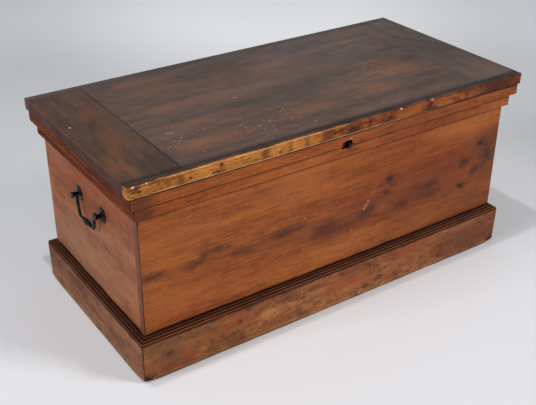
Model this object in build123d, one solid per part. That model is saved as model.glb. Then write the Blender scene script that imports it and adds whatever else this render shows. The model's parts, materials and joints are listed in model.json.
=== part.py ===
from build123d import *
import os

os.makedirs("parts", exist_ok=True)

# A stained pine blanket chest. Millimetres. The front faces -Y, +Z is up,
# and the origin is on the floor under the middle of the chest.

# The box
body_width = 1045.0
body_depth = 478.0
chest_height = 495.0
board_thickness = 20.0
box_lift = 8.0
plank_count = 5
plank_thickness = 14.0
bearer_size = 20.0

# The lid
lid_thickness = 27.0
lid_overhang = 27.5
lid_gap = 0.4
lid_end_width = 133.0
lid_strip_width = 22.0
lid_arris = 1.2

# The two stepped mouldings under the lid
upper_step = 22.5
upper_height = 29.0
lower_step = 11.0
lower_height = 32.0
moulding_arris = 1.0

# The plinth and the reeded moulding on top of it
plinth_step = 19.0
plinth_height = 100.0
plinth_arris = 1.5
cap_height = 12.0
cap_quirk = 0.8
reed_radius = 2.7

# The keyhole: a squared hole through the mouldings, and the key's own slot in the board behind
key_x = 0.0
aperture_width = 22.0
aperture_height = 25.0
aperture_corner = 4.0
keyhole_radius = 4.5
keyhole_slot_width = 5.6
keyhole_drop = 12.0

# The lock on the inner side of the front board
lock_width = 90.0
lock_height = 52.0
lock_depth = 16.0
lock_wall = 2.0
lock_flange = 9.0
selvedge_thickness = 2.0
selvedge_inset = 8.0
lock_screw_inset = 11.0
staple_spacing = 26.0
staple_thickness = 4.0
staple_drop = 17.0
staple_eye_width = 6.0
staple_eye_height = 8.0
staple_foot = 3.0
slot_clearance = 1.0
link_plate_width = 70.0
link_plate_depth = 22.0
link_plate_thickness = 2.0
link_screw_edge = 8.0
bolt_travel = 9.0
bolt_thickness = 5.0
bolt_prong_height = 5.0
bolt_arm_width = 5.0
bolt_tail = 22.0
bolt_bar_height = 6.5
bolt_clearance = 0.5
rail_height = 3.0
rail_lip = 4.0
rail_inset = 12.0

# The two butt hinges
hinge_inset = 192.5
hinge_width = 76.0
hinge_leaf = 30.0
leaf_thickness = 2.2
hinge_screw_edge = 4.5
hinge_screw_row = 13.5
hinge_screw_end = 9.5
knuckle_radius = 4.4
knuckle_count = 5
knuckle_clearance = 0.3
pin_setback = 0.6
pin_radius = 2.2
pin_fit = 0.05
pin_overrun = 1.0
knuckle_recess = 0.6

# The iron carrying handles
handle_y = -8.0
handle_z = 332.0
post_spacing = 121.0
pivot_out = 13.0
shank_radius = 3.5
rose_radius = 18.5
rose_rim = 1.8
rose_thickness = 4.0
rose_land = 1.0
neck_radius = 4.6
head_radius = 8.4
head_out = 20.0
head_dome = 1.0
head_face_radius = 6.4
flare_slope = 0.8
bail_radius = 3.3
bail_fit = 0.08
bail_stub = 5.0
bail_top_width = 92.0
bail_bottom_width = 74.0
bail_drop = 43.5
bail_neck = 6.0
bail_rise = 3.0
neck_bend = 5.0
bail_bend = 4.5
waist_bend = 60.0
corner_bend = 9.0
grip_radius = 6.2
grip_length = 52.0
grip_slope = 0.12
nut_size = 15.0
nut_thickness = 5.0

# Screws and fits
screw_head_radius = 3.6
screw_shank_radius = 1.7
screw_length = 15.0
fit = 0.1

# How far a cutter runs past the face it starts from
past = 1.0

# Places worked out from the sizes above
half_width = body_width / 2
half_depth = body_depth / 2
rim_z = chest_height - lid_thickness - lid_gap
lid_bottom = chest_height - lid_thickness
upper_z = rim_z - upper_height
lower_z = upper_z - lower_height
cap_top = plinth_height + cap_height
inner_half_width = half_width - board_thickness
inner_half_depth = half_depth - board_thickness
lid_half_width = half_width + lid_overhang
lid_half_depth = half_depth + lid_overhang
panel_half_width = lid_half_width - lid_end_width
panel_half_depth = lid_half_depth - lid_strip_width
plank_z = box_lift + bearer_size
key_z = upper_z
upper_back = half_depth + upper_step
pin_y = upper_back + pin_setback
pin_z = rim_z + lid_gap / 2
hinge_x = half_width - hinge_inset
lock_y = -inner_half_depth
lock_back = lock_y + lock_depth
lock_top = rim_z - selvedge_thickness
lock_bottom = lock_top - lock_height
staple_y = lock_y + lock_depth / 2
staple_width = lock_depth - 2 * lock_wall - 2 * slot_clearance
staple_low = lid_bottom - staple_drop
flange_half = lock_width / 2 + lock_flange


def block(x0, x1, y0, y1, z0, z1):
    """A box between two opposite corners."""
    size = Box(x1 - x0, y1 - y0, z1 - z0)
    return Pos((x0 + x1) / 2, (y0 + y1) / 2, (z0 + z1) / 2) * size


def rod(start, direction, radius, length):
    """A cylinder that starts at a point and runs along a direction."""
    plane = Plane(origin=start, z_dir=direction)
    return extrude(plane * Circle(radius), length)


def save(name, *solids):
    """Writes one node: a single solid, or a group of separate ones."""
    shape = solids[0] if len(solids) == 1 else Compound(children=list(solids))
    shape.label = name
    export_step(shape, f"parts/{name}.step")


def one_solid(shape):
    """The solid inside a part that boolean work returned."""
    return shape.solids()[0]


def countersunk_screw(point, direction):
    """A screw whose flat head lies at a point and whose shank runs along a direction."""
    plane = Plane(origin=point, z_dir=direction)
    head_depth = screw_head_radius - screw_shank_radius
    outline = Polyline(
        (0, 0, 0),
        (screw_head_radius, 0, 0),
        (screw_shank_radius, 0, head_depth),
        (screw_shank_radius, 0, screw_length - screw_shank_radius),
        (0, 0, screw_length),
        close=True,
    )
    return one_solid(plane.location * revolve(make_face(outline), Axis.Z))


def screw_hole(point, direction):
    """The hole for that screw, larger all round by the fit."""
    plane = Plane(origin=point, z_dir=direction)
    head_depth = screw_head_radius - screw_shank_radius
    outline = Polyline(
        (0, 0, -fit),
        (screw_head_radius + 2 * fit, 0, -fit),
        (screw_shank_radius + fit, 0, head_depth),
        (screw_shank_radius + fit, 0, screw_length + fit),
        (0, 0, screw_length + fit),
        close=True,
    )
    return plane.location * revolve(make_face(outline), Axis.Z)


# The sides of the chest, a quarter turn apart
side_names = ("front", "right", "back", "left")
section_plane = Plane(origin=(0, 0, 0), x_dir=(0, -1, 0), z_dir=(-1, 0, 0))


def mitred_strip(section, side, reach):
    """A strip of one section along one side of the box, mitred at both ends.

    The section is drawn with X outwards from the box's face and Y upwards.
    """
    quarter_turns = side_names.index(side)
    half_length, distance = (half_depth, half_width) if quarter_turns % 2 else (half_width, half_depth)
    bar = extrude(section_plane * section, half_length + 2 * reach, both=True)
    far = 2 * reach
    plan = Polyline(
        (-half_length, 0, 0),
        (half_length, 0, 0),
        (half_length + far, -far, 0),
        (-half_length - far, -far, 0),
        close=True,
    )
    wedge = extrude(make_face(plan), rim_z, dir=(0, 0, 1))
    strip = one_solid(bar & wedge)
    return Rot(0, 0, 90 * quarter_turns) * Pos(0, -distance, 0) * strip


def board_section(step, low, high, radius, rounded_low=True):
    """A rectangle from the box's face outwards, with its outer corners rounded."""
    shape = Pos(step / 2, (low + high) / 2) * Rectangle(step, high - low)
    outer = shape.vertices().filter_by(lambda v: v.X > step / 2)
    if not rounded_low:
        outer = outer.filter_by(lambda v: v.Y > (low + high) / 2)
    return fillet(outer, radius)


def reeded_section():
    """The moulding on the plinth: three reeds on a slope, the lowest one standing out as a nose."""
    nose = (plinth_step - cap_quirk - reed_radius, plinth_height + reed_radius)
    crest = (reed_radius + cap_quirk, cap_top - reed_radius)
    middle = ((nose[0] + crest[0]) / 2, (nose[1] + crest[1]) / 2)
    slope = Polyline(
        (0, plinth_height),
        (nose[0], plinth_height),
        nose,
        crest,
        (0, cap_top - reed_radius / 2),
        close=True,
    )
    section = make_face(slope)
    for centre in (nose, middle, crest):
        section += Pos(*centre) * Circle(reed_radius)
    return section


# The lock's parts and the hinges come first, because the boards are cut to take them

slot_x = [key_x - staple_spacing / 2, key_x + staple_spacing / 2]


def key_slot(y0, y1):
    """The key's hole: a round with a slot below it, through everything between two depths."""
    bow = rod((key_x, y0, key_z), (0, 1, 0), keyhole_radius, y1 - y0)
    half = keyhole_slot_width / 2
    return bow + block(key_x - half, key_x + half, y0, y1, key_z - keyhole_drop, key_z)


case_half = lock_width / 2
inner_half = case_half - lock_wall
inner_front = lock_y + lock_wall
inner_back = lock_back - lock_wall
lock_screw_points = [
    (key_x + across * (case_half + lock_flange / 2), inner_front, height)
    for across in (-1, 1)
    for height in (lock_top - lock_screw_inset, lock_bottom + lock_screw_inset)
]
case = block(key_x - case_half, key_x + case_half, lock_y, lock_back, lock_bottom, lock_top)
case += block(key_x - flange_half, key_x + flange_half, lock_y, inner_front, lock_bottom, lock_top)
case_low = lock_bottom + lock_wall
case -= block(key_x - inner_half, key_x + inner_half, inner_front, inner_back, case_low, rim_z)
eye_low = staple_low + staple_foot
prong_top = eye_low + staple_eye_height - 2 * bolt_clearance
prong_low = prong_top - bolt_prong_height
prong_length = bolt_travel + 2 * bolt_clearance
bar_top = staple_low - 2 * bolt_clearance
bar_low = bar_top - bolt_bar_height
rail_floor = bar_low - bolt_clearance
rail_low = rail_floor - rail_height
rail_top = rail_floor + rail_lip
groove_half = bolt_thickness / 2 + bolt_clearance
for across in (-1, 1):
    near, far = sorted((key_x + across * rail_inset, key_x + across * inner_half))
    rail = block(near, far, inner_front, inner_back, rail_low, rail_top)
    groove_front = staple_y - groove_half
    rail -= block(near, far, groove_front, groove_front + 2 * groove_half, rail_floor, rail_top)
    case += rail
case -= key_slot(lock_y - past, inner_front + past)
for point in lock_screw_points:
    case -= screw_hole(point, (0, -1, 0))
save("lock_case", one_solid(case))
save("lock_screws", *[countersunk_screw(p, (0, -1, 0)) for p in lock_screw_points])

selvedge_front = lock_y - selvedge_inset
selvedge_ends = (key_x - flange_half, key_x + flange_half)
selvedge = block(*selvedge_ends, selvedge_front, lock_back, lock_top, rim_z)
slot_half = staple_thickness / 2 + slot_clearance
for x in slot_x:
    selvedge -= block(x - slot_half, x + slot_half, inner_front, inner_back, lock_top, rim_z)
save("lock_selvedge", one_solid(selvedge))

# The bolt: a bar under the staples, with two hooks whose points slide through the staples' eyes
y0 = staple_y - bolt_thickness / 2
y1 = staple_y + bolt_thickness / 2
tip_back = staple_thickness / 2 + 2 * bolt_clearance
arm_back = tip_back + prong_length + bolt_arm_width
bolt = block(slot_x[0] - arm_back, key_x + bolt_tail, y0, y1, bar_low, bar_top)
for x in slot_x:
    tip = x - tip_back
    heel = tip - prong_length
    bolt += block(x - arm_back, heel, y0, y1, bar_low, prong_top)
    bolt += block(heel, tip, y0, y1, prong_low, prong_top)
save("lock_bolt", one_solid(bolt))

# The link plate in the lid, with the two staples that drop into the lock
plate_half = link_plate_width / 2
link_recess = block(
    key_x - plate_half,
    key_x + plate_half,
    staple_y - link_plate_depth / 2,
    staple_y + link_plate_depth / 2,
    lid_bottom,
    lid_bottom + link_plate_thickness,
)
link_plate = link_recess
for x in slot_x:
    staple = block(
        x - staple_thickness / 2,
        x + staple_thickness / 2,
        staple_y - staple_width / 2,
        staple_y + staple_width / 2,
        staple_low,
        lid_bottom,
    )
    staple -= block(
        x - staple_thickness / 2,
        x + staple_thickness / 2,
        staple_y - staple_eye_width / 2,
        staple_y + staple_eye_width / 2,
        eye_low,
        eye_low + staple_eye_height,
    )
    link_plate += staple
link_screw_out = plate_half - link_screw_edge
link_screw_points = [(key_x + side * link_screw_out, staple_y, lid_bottom) for side in (-1, 1)]
for point in link_screw_points:
    link_plate -= screw_hole(point, (0, 0, 1))
save("lock_link_plate", one_solid(link_plate))
save("link_plate_screws", *[countersunk_screw(p, (0, 0, 1)) for p in link_screw_points])


def hinge_parts(centre):
    """The two leaves and the pin of one hinge, whose knuckles share an axis along X."""
    pitch = hinge_width / knuckle_count
    start = centre - hinge_width / 2
    plate_edge = pin_y - knuckle_radius - knuckle_recess
    levels = {0: (rim_z - leaf_thickness, rim_z), 1: (lid_bottom, lid_bottom + leaf_thickness)}
    leaves = []
    for part, (low, high) in levels.items():
        leaf = block(start, start + hinge_width, pin_y - hinge_leaf, plate_edge, low, high)
        for index in range(part, knuckle_count, 2):
            x0 = start + index * pitch + knuckle_clearance / 2
            x1 = start + (index + 1) * pitch - knuckle_clearance / 2
            leaf += block(x0, x1, plate_edge, pin_y, low, high)
            leaf += rod((x0, pin_y, pin_z), (1, 0, 0), knuckle_radius, x1 - x0)
        leaf -= rod((start, pin_y, pin_z), (1, 0, 0), pin_radius + pin_fit, hinge_width)
        leaves.append(leaf)
    pin = rod(
        (start - pin_overrun, pin_y, pin_z), (1, 0, 0), pin_radius, hinge_width + 2 * pin_overrun
    )
    return leaves[0], leaves[1], pin


def hinge_screw_points(centre, height):
    """Three screws in a staggered row across a leaf."""
    inner = pin_y - hinge_leaf + hinge_screw_edge
    outer = inner + hinge_screw_row
    spread = hinge_width / 2 - hinge_screw_end
    return [
        (centre - spread, outer, height),
        (centre, inner, height),
        (centre + spread, outer, height),
    ]


box_screws = []
lid_screws = []
box_hinge_cuts = []
lid_hinge_cuts = []
for side_name, centre in (("left", -hinge_x), ("right", hinge_x)):
    box_leaf, lid_leaf, pin = hinge_parts(centre)
    box_points = hinge_screw_points(centre, rim_z)
    lid_points = hinge_screw_points(centre, lid_bottom)
    for point in box_points:
        box_leaf -= screw_hole(point, (0, 0, -1))
        box_screws.append(countersunk_screw(point, (0, 0, -1)))
        box_hinge_cuts.append(screw_hole(point, (0, 0, -1)))
    for point in lid_points:
        lid_leaf -= screw_hole(point, (0, 0, 1))
        lid_screws.append(countersunk_screw(point, (0, 0, 1)))
        lid_hinge_cuts.append(screw_hole(point, (0, 0, 1)))
    leaf_ends = (centre - hinge_width / 2, centre + hinge_width / 2)
    room = knuckle_radius + knuckle_recess
    wide = hinge_width / 2 + pin_overrun + knuckle_recess
    notch_ends = (centre - wide, centre + wide)
    leaf_edge = pin_y - hinge_leaf
    back_edge = max(upper_back, lid_half_depth) + past
    leaf_low = rim_z - leaf_thickness
    leaf_high = lid_bottom + leaf_thickness
    box_hinge_cuts.append(block(*leaf_ends, leaf_edge, back_edge, leaf_low, rim_z))
    box_hinge_cuts.append(block(*notch_ends, pin_y - room, back_edge, pin_z - room, rim_z))
    lid_hinge_cuts.append(block(*leaf_ends, leaf_edge, back_edge, lid_bottom, leaf_high))
    lid_hinge_cuts.append(block(*notch_ends, pin_y - room, back_edge, lid_bottom, pin_z + room))
    save(f"{side_name}_hinge_box_leaf", one_solid(box_leaf))
    save(f"{side_name}_hinge_lid_leaf", one_solid(lid_leaf))
    save(f"{side_name}_hinge_pin", one_solid(pin))
save("hinge_box_screws", *box_screws)
save("hinge_lid_screws", *lid_screws)

# The box: front and back run the full width, and the ends fit between them
aperture_section = RectangleRounded(aperture_width, aperture_height, aperture_corner)
aperture_plane = Plane(origin=(key_x, -half_depth, key_z), x_dir=(1, 0, 0), z_dir=(0, -1, 0))
aperture = extrude(aperture_plane * aperture_section, max(upper_step, lower_step) + past)

front_board = block(-half_width, half_width, -half_depth, -inner_half_depth, box_lift, rim_z)
front_board -= key_slot(-half_depth - past, -inner_half_depth + past)
front_board -= block(*selvedge_ends, selvedge_front, lock_y, lock_top, rim_z)
for point in lock_screw_points:
    front_board -= screw_hole(point, (0, -1, 0))
save("front_board", one_solid(front_board))

back_board = block(-half_width, half_width, inner_half_depth, half_depth, box_lift, rim_z)
for cut in box_hinge_cuts:
    back_board -= cut
save("back_board", one_solid(back_board))

post_places = {"front": -post_spacing / 2, "rear": post_spacing / 2}
for side_name, out in (("left", -1), ("right", 1)):
    inner, outer = sorted((out * inner_half_width, out * half_width))
    end_board = block(inner, outer, -inner_half_depth, inner_half_depth, box_lift, rim_z)
    for y in post_places.values():
        start = (out * inner_half_width, handle_y + y, handle_z)
        end_board -= rod(start, (out, 0, 0), shank_radius + fit, board_thickness)
    save(f"{side_name}_end_board", one_solid(end_board))

# The bottom: bearers round the inside, and planks across them from front to back
for side_name, out in (("front", -1), ("back", 1)):
    near, far = sorted((out * (inner_half_depth - bearer_size), out * inner_half_depth))
    bearer = block(-inner_half_width, inner_half_width, near, far, box_lift, plank_z)
    save(f"bottom_bearer_{side_name}", bearer)
for side_name, out in (("left", -1), ("right", 1)):
    near, far = sorted((out * (inner_half_width - bearer_size), out * inner_half_width))
    half = inner_half_depth - bearer_size
    save(f"bottom_bearer_{side_name}", block(near, far, -half, half, box_lift, plank_z))
plank_pitch = 2 * inner_half_width / plank_count
for index in range(plank_count):
    x0 = -inner_half_width + index * plank_pitch
    plank = block(
        x0, x0 + plank_pitch, -inner_half_depth, inner_half_depth, plank_z, plank_z + plank_thickness
    )
    save(f"bottom_plank_{index + 1}", plank)

# Mouldings and plinth, four mitred pieces each
upper_section = board_section(upper_step, upper_z, rim_z, moulding_arris)
lower_section = board_section(lower_step, lower_z, upper_z, moulding_arris)
plinth_section = board_section(plinth_step, 0, plinth_height, plinth_arris, rounded_low=False)
cap_section = reeded_section()
for side_name in side_names:
    upper = mitred_strip(upper_section, side_name, upper_step)
    lower = mitred_strip(lower_section, side_name, lower_step)
    if side_name == "front":
        upper -= aperture
        lower -= aperture
    if side_name == "back":
        for cut in box_hinge_cuts:
            upper -= cut
    save(f"upper_moulding_{side_name}", one_solid(upper))
    save(f"lower_moulding_{side_name}", one_solid(lower))
    save(f"plinth_{side_name}", one_solid(mitred_strip(plinth_section, side_name, plinth_step)))
    save(f"plinth_moulding_{side_name}", one_solid(mitred_strip(cap_section, side_name, plinth_step)))

# The lid: two panel boards, a wide board across each end, and a strip along the front and back
for side_name, out in (("front", -1), ("back", 1)):
    near, far = sorted((out * panel_half_depth, out * lid_half_depth))
    strip = block(-lid_half_width, lid_half_width, near, far, lid_bottom, chest_height)
    outer_edges = [e for e in strip.edges() if abs(e.center().Y) > panel_half_depth + lid_arris]
    strip = fillet(outer_edges, lid_arris)
    near, far = sorted((0, out * panel_half_depth))
    panel = block(-panel_half_width, panel_half_width, near, far, lid_bottom, chest_height)
    if side_name == "back":
        for cut in lid_hinge_cuts:
            strip -= cut
            panel -= cut
    else:
        panel -= link_recess
        for point in link_screw_points:
            panel -= screw_hole(point, (0, 0, 1))
    save(f"lid_{side_name}_strip", one_solid(strip))
    save(f"lid_panel_{side_name}", one_solid(panel))
for side_name, out in (("left", -1), ("right", 1)):
    near, far = sorted((out * panel_half_width, out * lid_half_width))
    board = block(near, far, -panel_half_depth, panel_half_depth, lid_bottom, chest_height)
    long_edges = board.edges().filter_by(Axis.Y)
    rim_edges = [e for e in long_edges if abs(e.center().X) > lid_half_width - lid_arris]
    save(f"lid_end_{side_name}", one_solid(fillet(rim_edges, lid_arris)))

# The handles: each piece is drawn for the right end, outwards from the board's face, and then placed


def handle_post():
    """A post with a flared head, a cross hole for the bail and a shank through the board."""
    shank_end = -board_thickness - nut_thickness - past
    curve = Spline(
        (rose_thickness, 0, neck_radius),
        (head_out - head_dome, 0, head_radius),
        tangents=[(1, 0, 0), (1, 0, flare_slope)],
    )
    lines = Polyline(
        (head_out - head_dome, 0, head_radius),
        (head_out, 0, head_face_radius),
        (head_out, 0, 0),
        (shank_end, 0, 0),
        (shank_end, 0, shank_radius),
        (rose_thickness, 0, shank_radius),
        (rose_thickness, 0, neck_radius),
    )
    solid = revolve(make_face(Curve() + [curve, lines]), Axis.X)
    side = head_radius + past
    hole = rod((pivot_out, -side, 0), (0, 1, 0), bail_radius + bail_fit, 2 * side)
    return one_solid(solid - hole)


def handle_rose():
    """A round, slightly domed back plate with a hole for the post."""
    land = neck_radius + rose_land
    dome = ThreePointArc(
        (rose_rim, 0, rose_radius),
        (rose_thickness - (rose_thickness - rose_rim) / 4, 0, (rose_radius + land) / 2),
        (rose_thickness, 0, land),
    )
    lines = Polyline(
        (rose_thickness, 0, land),
        (rose_thickness, 0, shank_radius + fit),
        (0, 0, shank_radius + fit),
        (0, 0, rose_radius),
        (rose_rim, 0, rose_radius),
    )
    return one_solid(revolve(make_face(Curve() + [dome, lines]), Axis.X))


def handle_nut():
    """A square nut on the post's shank, inside the box."""
    back = -board_thickness - nut_thickness
    half = nut_size / 2
    nut = block(back, -board_thickness, -half, half, -half, half)
    return one_solid(nut - rod((back, 0, 0), (1, 0, 0), shank_radius + fit, nut_thickness))


def handle_bail():
    """The iron bail, hanging: two short pivots, swan-necked arms and a swollen grip."""
    top = bail_top_width / 2
    bottom = bail_bottom_width / 2
    waist = (top + bottom) / 2
    half_route = [
        (post_spacing / 2 + bail_stub, 0),
        (top + bail_neck, 0),
        (top, bail_rise),
        (waist, -bail_drop / 2),
        (bottom, -bail_drop),
    ]
    corners = [neck_bend, bail_bend, waist_bend, corner_bend]
    far_route = [(-y, z) for y, z in reversed(half_route)]
    route = [(pivot_out, y, z) for y, z in half_route + far_route]
    path = FilletPolyline(*route, radius=corners + corners[::-1])
    start = Plane(origin=route[0], z_dir=(0, -1, 0))
    ring = sweep(start * Circle(bail_radius), path=path)
    half = grip_length / 2
    swell = Spline(
        (-half, bail_radius),
        (0, grip_radius),
        (half, bail_radius),
        tangents=[(1, grip_slope), (1, -grip_slope)],
    )
    base = Polyline((half, bail_radius), (half, 0), (-half, 0), (-half, bail_radius))
    grip_plane = Plane(origin=(pivot_out, 0, -bail_drop), x_dir=(0, 1, 0), z_dir=(1, 0, 0))
    grip = grip_plane.location * revolve(make_face(Curve() + [swell, base]), Axis.X)
    return one_solid(ring + grip)


post = handle_post()
rose = handle_rose()
nut = handle_nut()
bail = handle_bail()
nuts = []
for side_name, out in (("left", -1), ("right", 1)):
    turn = Rot(0, 0, 90 - 90 * out)
    seat = Pos(out * half_width, handle_y, handle_z)
    save(f"{side_name}_bail", seat * turn * bail)
    for place, y in post_places.items():
        spot = Pos(out * half_width, handle_y + y, handle_z) * turn
        save(f"{side_name}_{place}_post", spot * post)
        save(f"{side_name}_{place}_rose", spot * rose)
        nuts.append(spot * nut)
save("handle_nuts", *nuts)
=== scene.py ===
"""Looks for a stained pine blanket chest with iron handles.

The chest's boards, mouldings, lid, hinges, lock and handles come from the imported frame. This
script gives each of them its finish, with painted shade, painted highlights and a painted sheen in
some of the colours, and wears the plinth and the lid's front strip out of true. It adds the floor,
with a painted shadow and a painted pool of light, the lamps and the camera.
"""

import json
import logging
import math
from collections.abc import Callable, Iterable
from dataclasses import dataclass, replace
from enum import Enum
from typing import ClassVar

import bmesh
import bpy
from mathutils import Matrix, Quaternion, Vector, noise

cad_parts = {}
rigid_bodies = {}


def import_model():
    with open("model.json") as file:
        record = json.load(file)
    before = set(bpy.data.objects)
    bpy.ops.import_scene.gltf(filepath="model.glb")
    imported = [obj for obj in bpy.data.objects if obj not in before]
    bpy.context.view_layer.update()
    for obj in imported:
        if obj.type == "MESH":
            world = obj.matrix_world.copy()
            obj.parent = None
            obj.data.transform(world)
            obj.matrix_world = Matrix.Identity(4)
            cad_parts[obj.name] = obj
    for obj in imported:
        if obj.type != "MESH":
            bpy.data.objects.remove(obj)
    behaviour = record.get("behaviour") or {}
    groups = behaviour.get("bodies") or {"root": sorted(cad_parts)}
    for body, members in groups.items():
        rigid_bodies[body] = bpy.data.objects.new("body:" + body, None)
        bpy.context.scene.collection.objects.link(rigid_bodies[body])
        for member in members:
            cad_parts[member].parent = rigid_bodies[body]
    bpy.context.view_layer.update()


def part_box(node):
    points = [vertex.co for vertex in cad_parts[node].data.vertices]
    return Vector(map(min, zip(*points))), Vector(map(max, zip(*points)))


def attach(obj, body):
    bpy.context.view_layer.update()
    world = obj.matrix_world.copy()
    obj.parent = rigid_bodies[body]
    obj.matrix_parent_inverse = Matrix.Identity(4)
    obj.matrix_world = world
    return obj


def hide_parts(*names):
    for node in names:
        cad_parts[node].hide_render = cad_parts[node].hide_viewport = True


LOG = logging.getLogger("blanket_chest")

Colour = tuple[float, float, float]
Point = tuple[float, float, float]
# The axis that a face stands across, its place there and the way inwards or outwards.
Face = tuple[int, float, float]
Socket = bpy.types.NodeSocket
Value = Socket | Colour | float

ALL = math.inf
ORIGIN: Point = (0.0, 0.0, 0.0)
EVEN: Point = (1.0, 1.0, 1.0)
SIDES = ("front", "right", "back", "left")


def linear(value: float) -> float:
    """Turns one channel of a screen colour, 0 to 255, into its linear value."""
    part = value / 255.0
    return part / 12.92 if part <= 0.04045 else ((part + 0.055) / 1.055) ** 2.4


def srgb(red: float, green: float, blue: float) -> Colour:
    """Turns a screen colour, 0 to 255, into the linear values that shaders take."""
    return (linear(red), linear(green), linear(blue))


class Grain(Enum):
    """The axis that a board's grain runs along."""

    ALONG_X = 0
    ALONG_Y = 1


@dataclass(frozen=True)
class Pattern:
    """Fractal noise that is drawn out along the grain.

    Attributes:
        drawn: How far it is drawn out, from a lot near 0 to not at all at 1.
        waves: How fine it is across the grain, in waves per metre.
        detail: Its number of octaves.
        roughness: How strong the fine octaves are.
        distortion: How far it is warped.
    """

    drawn: float
    waves: float
    detail: float = 4.0
    roughness: float = 0.6
    distortion: float = 0.0


RING_WANDER = Pattern(0.22, 5.0, 3.0, 0.5, 0.4)
RING_BREAKS = Pattern(0.06, 60.0, 3.0)
BANDS = Pattern(0.10, 22.0, 4.0, 0.6, 0.4)
THREADS = Pattern(0.08, 110.0, 4.0, 0.65, 0.2)
FIBRES = Pattern(0.05, 430.0, 3.0)
MOTTLING = Pattern(0.5, 32.0, 6.0, 0.72)
KNOCKS = Pattern(0.7, 75.0, 5.0, 0.75, 0.3)
HAZE = Pattern(0.4, 4.5, 5.0, 0.6, 0.6)
GRIT = Pattern(1.0, 150.0, 3.0, 0.55)


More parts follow.
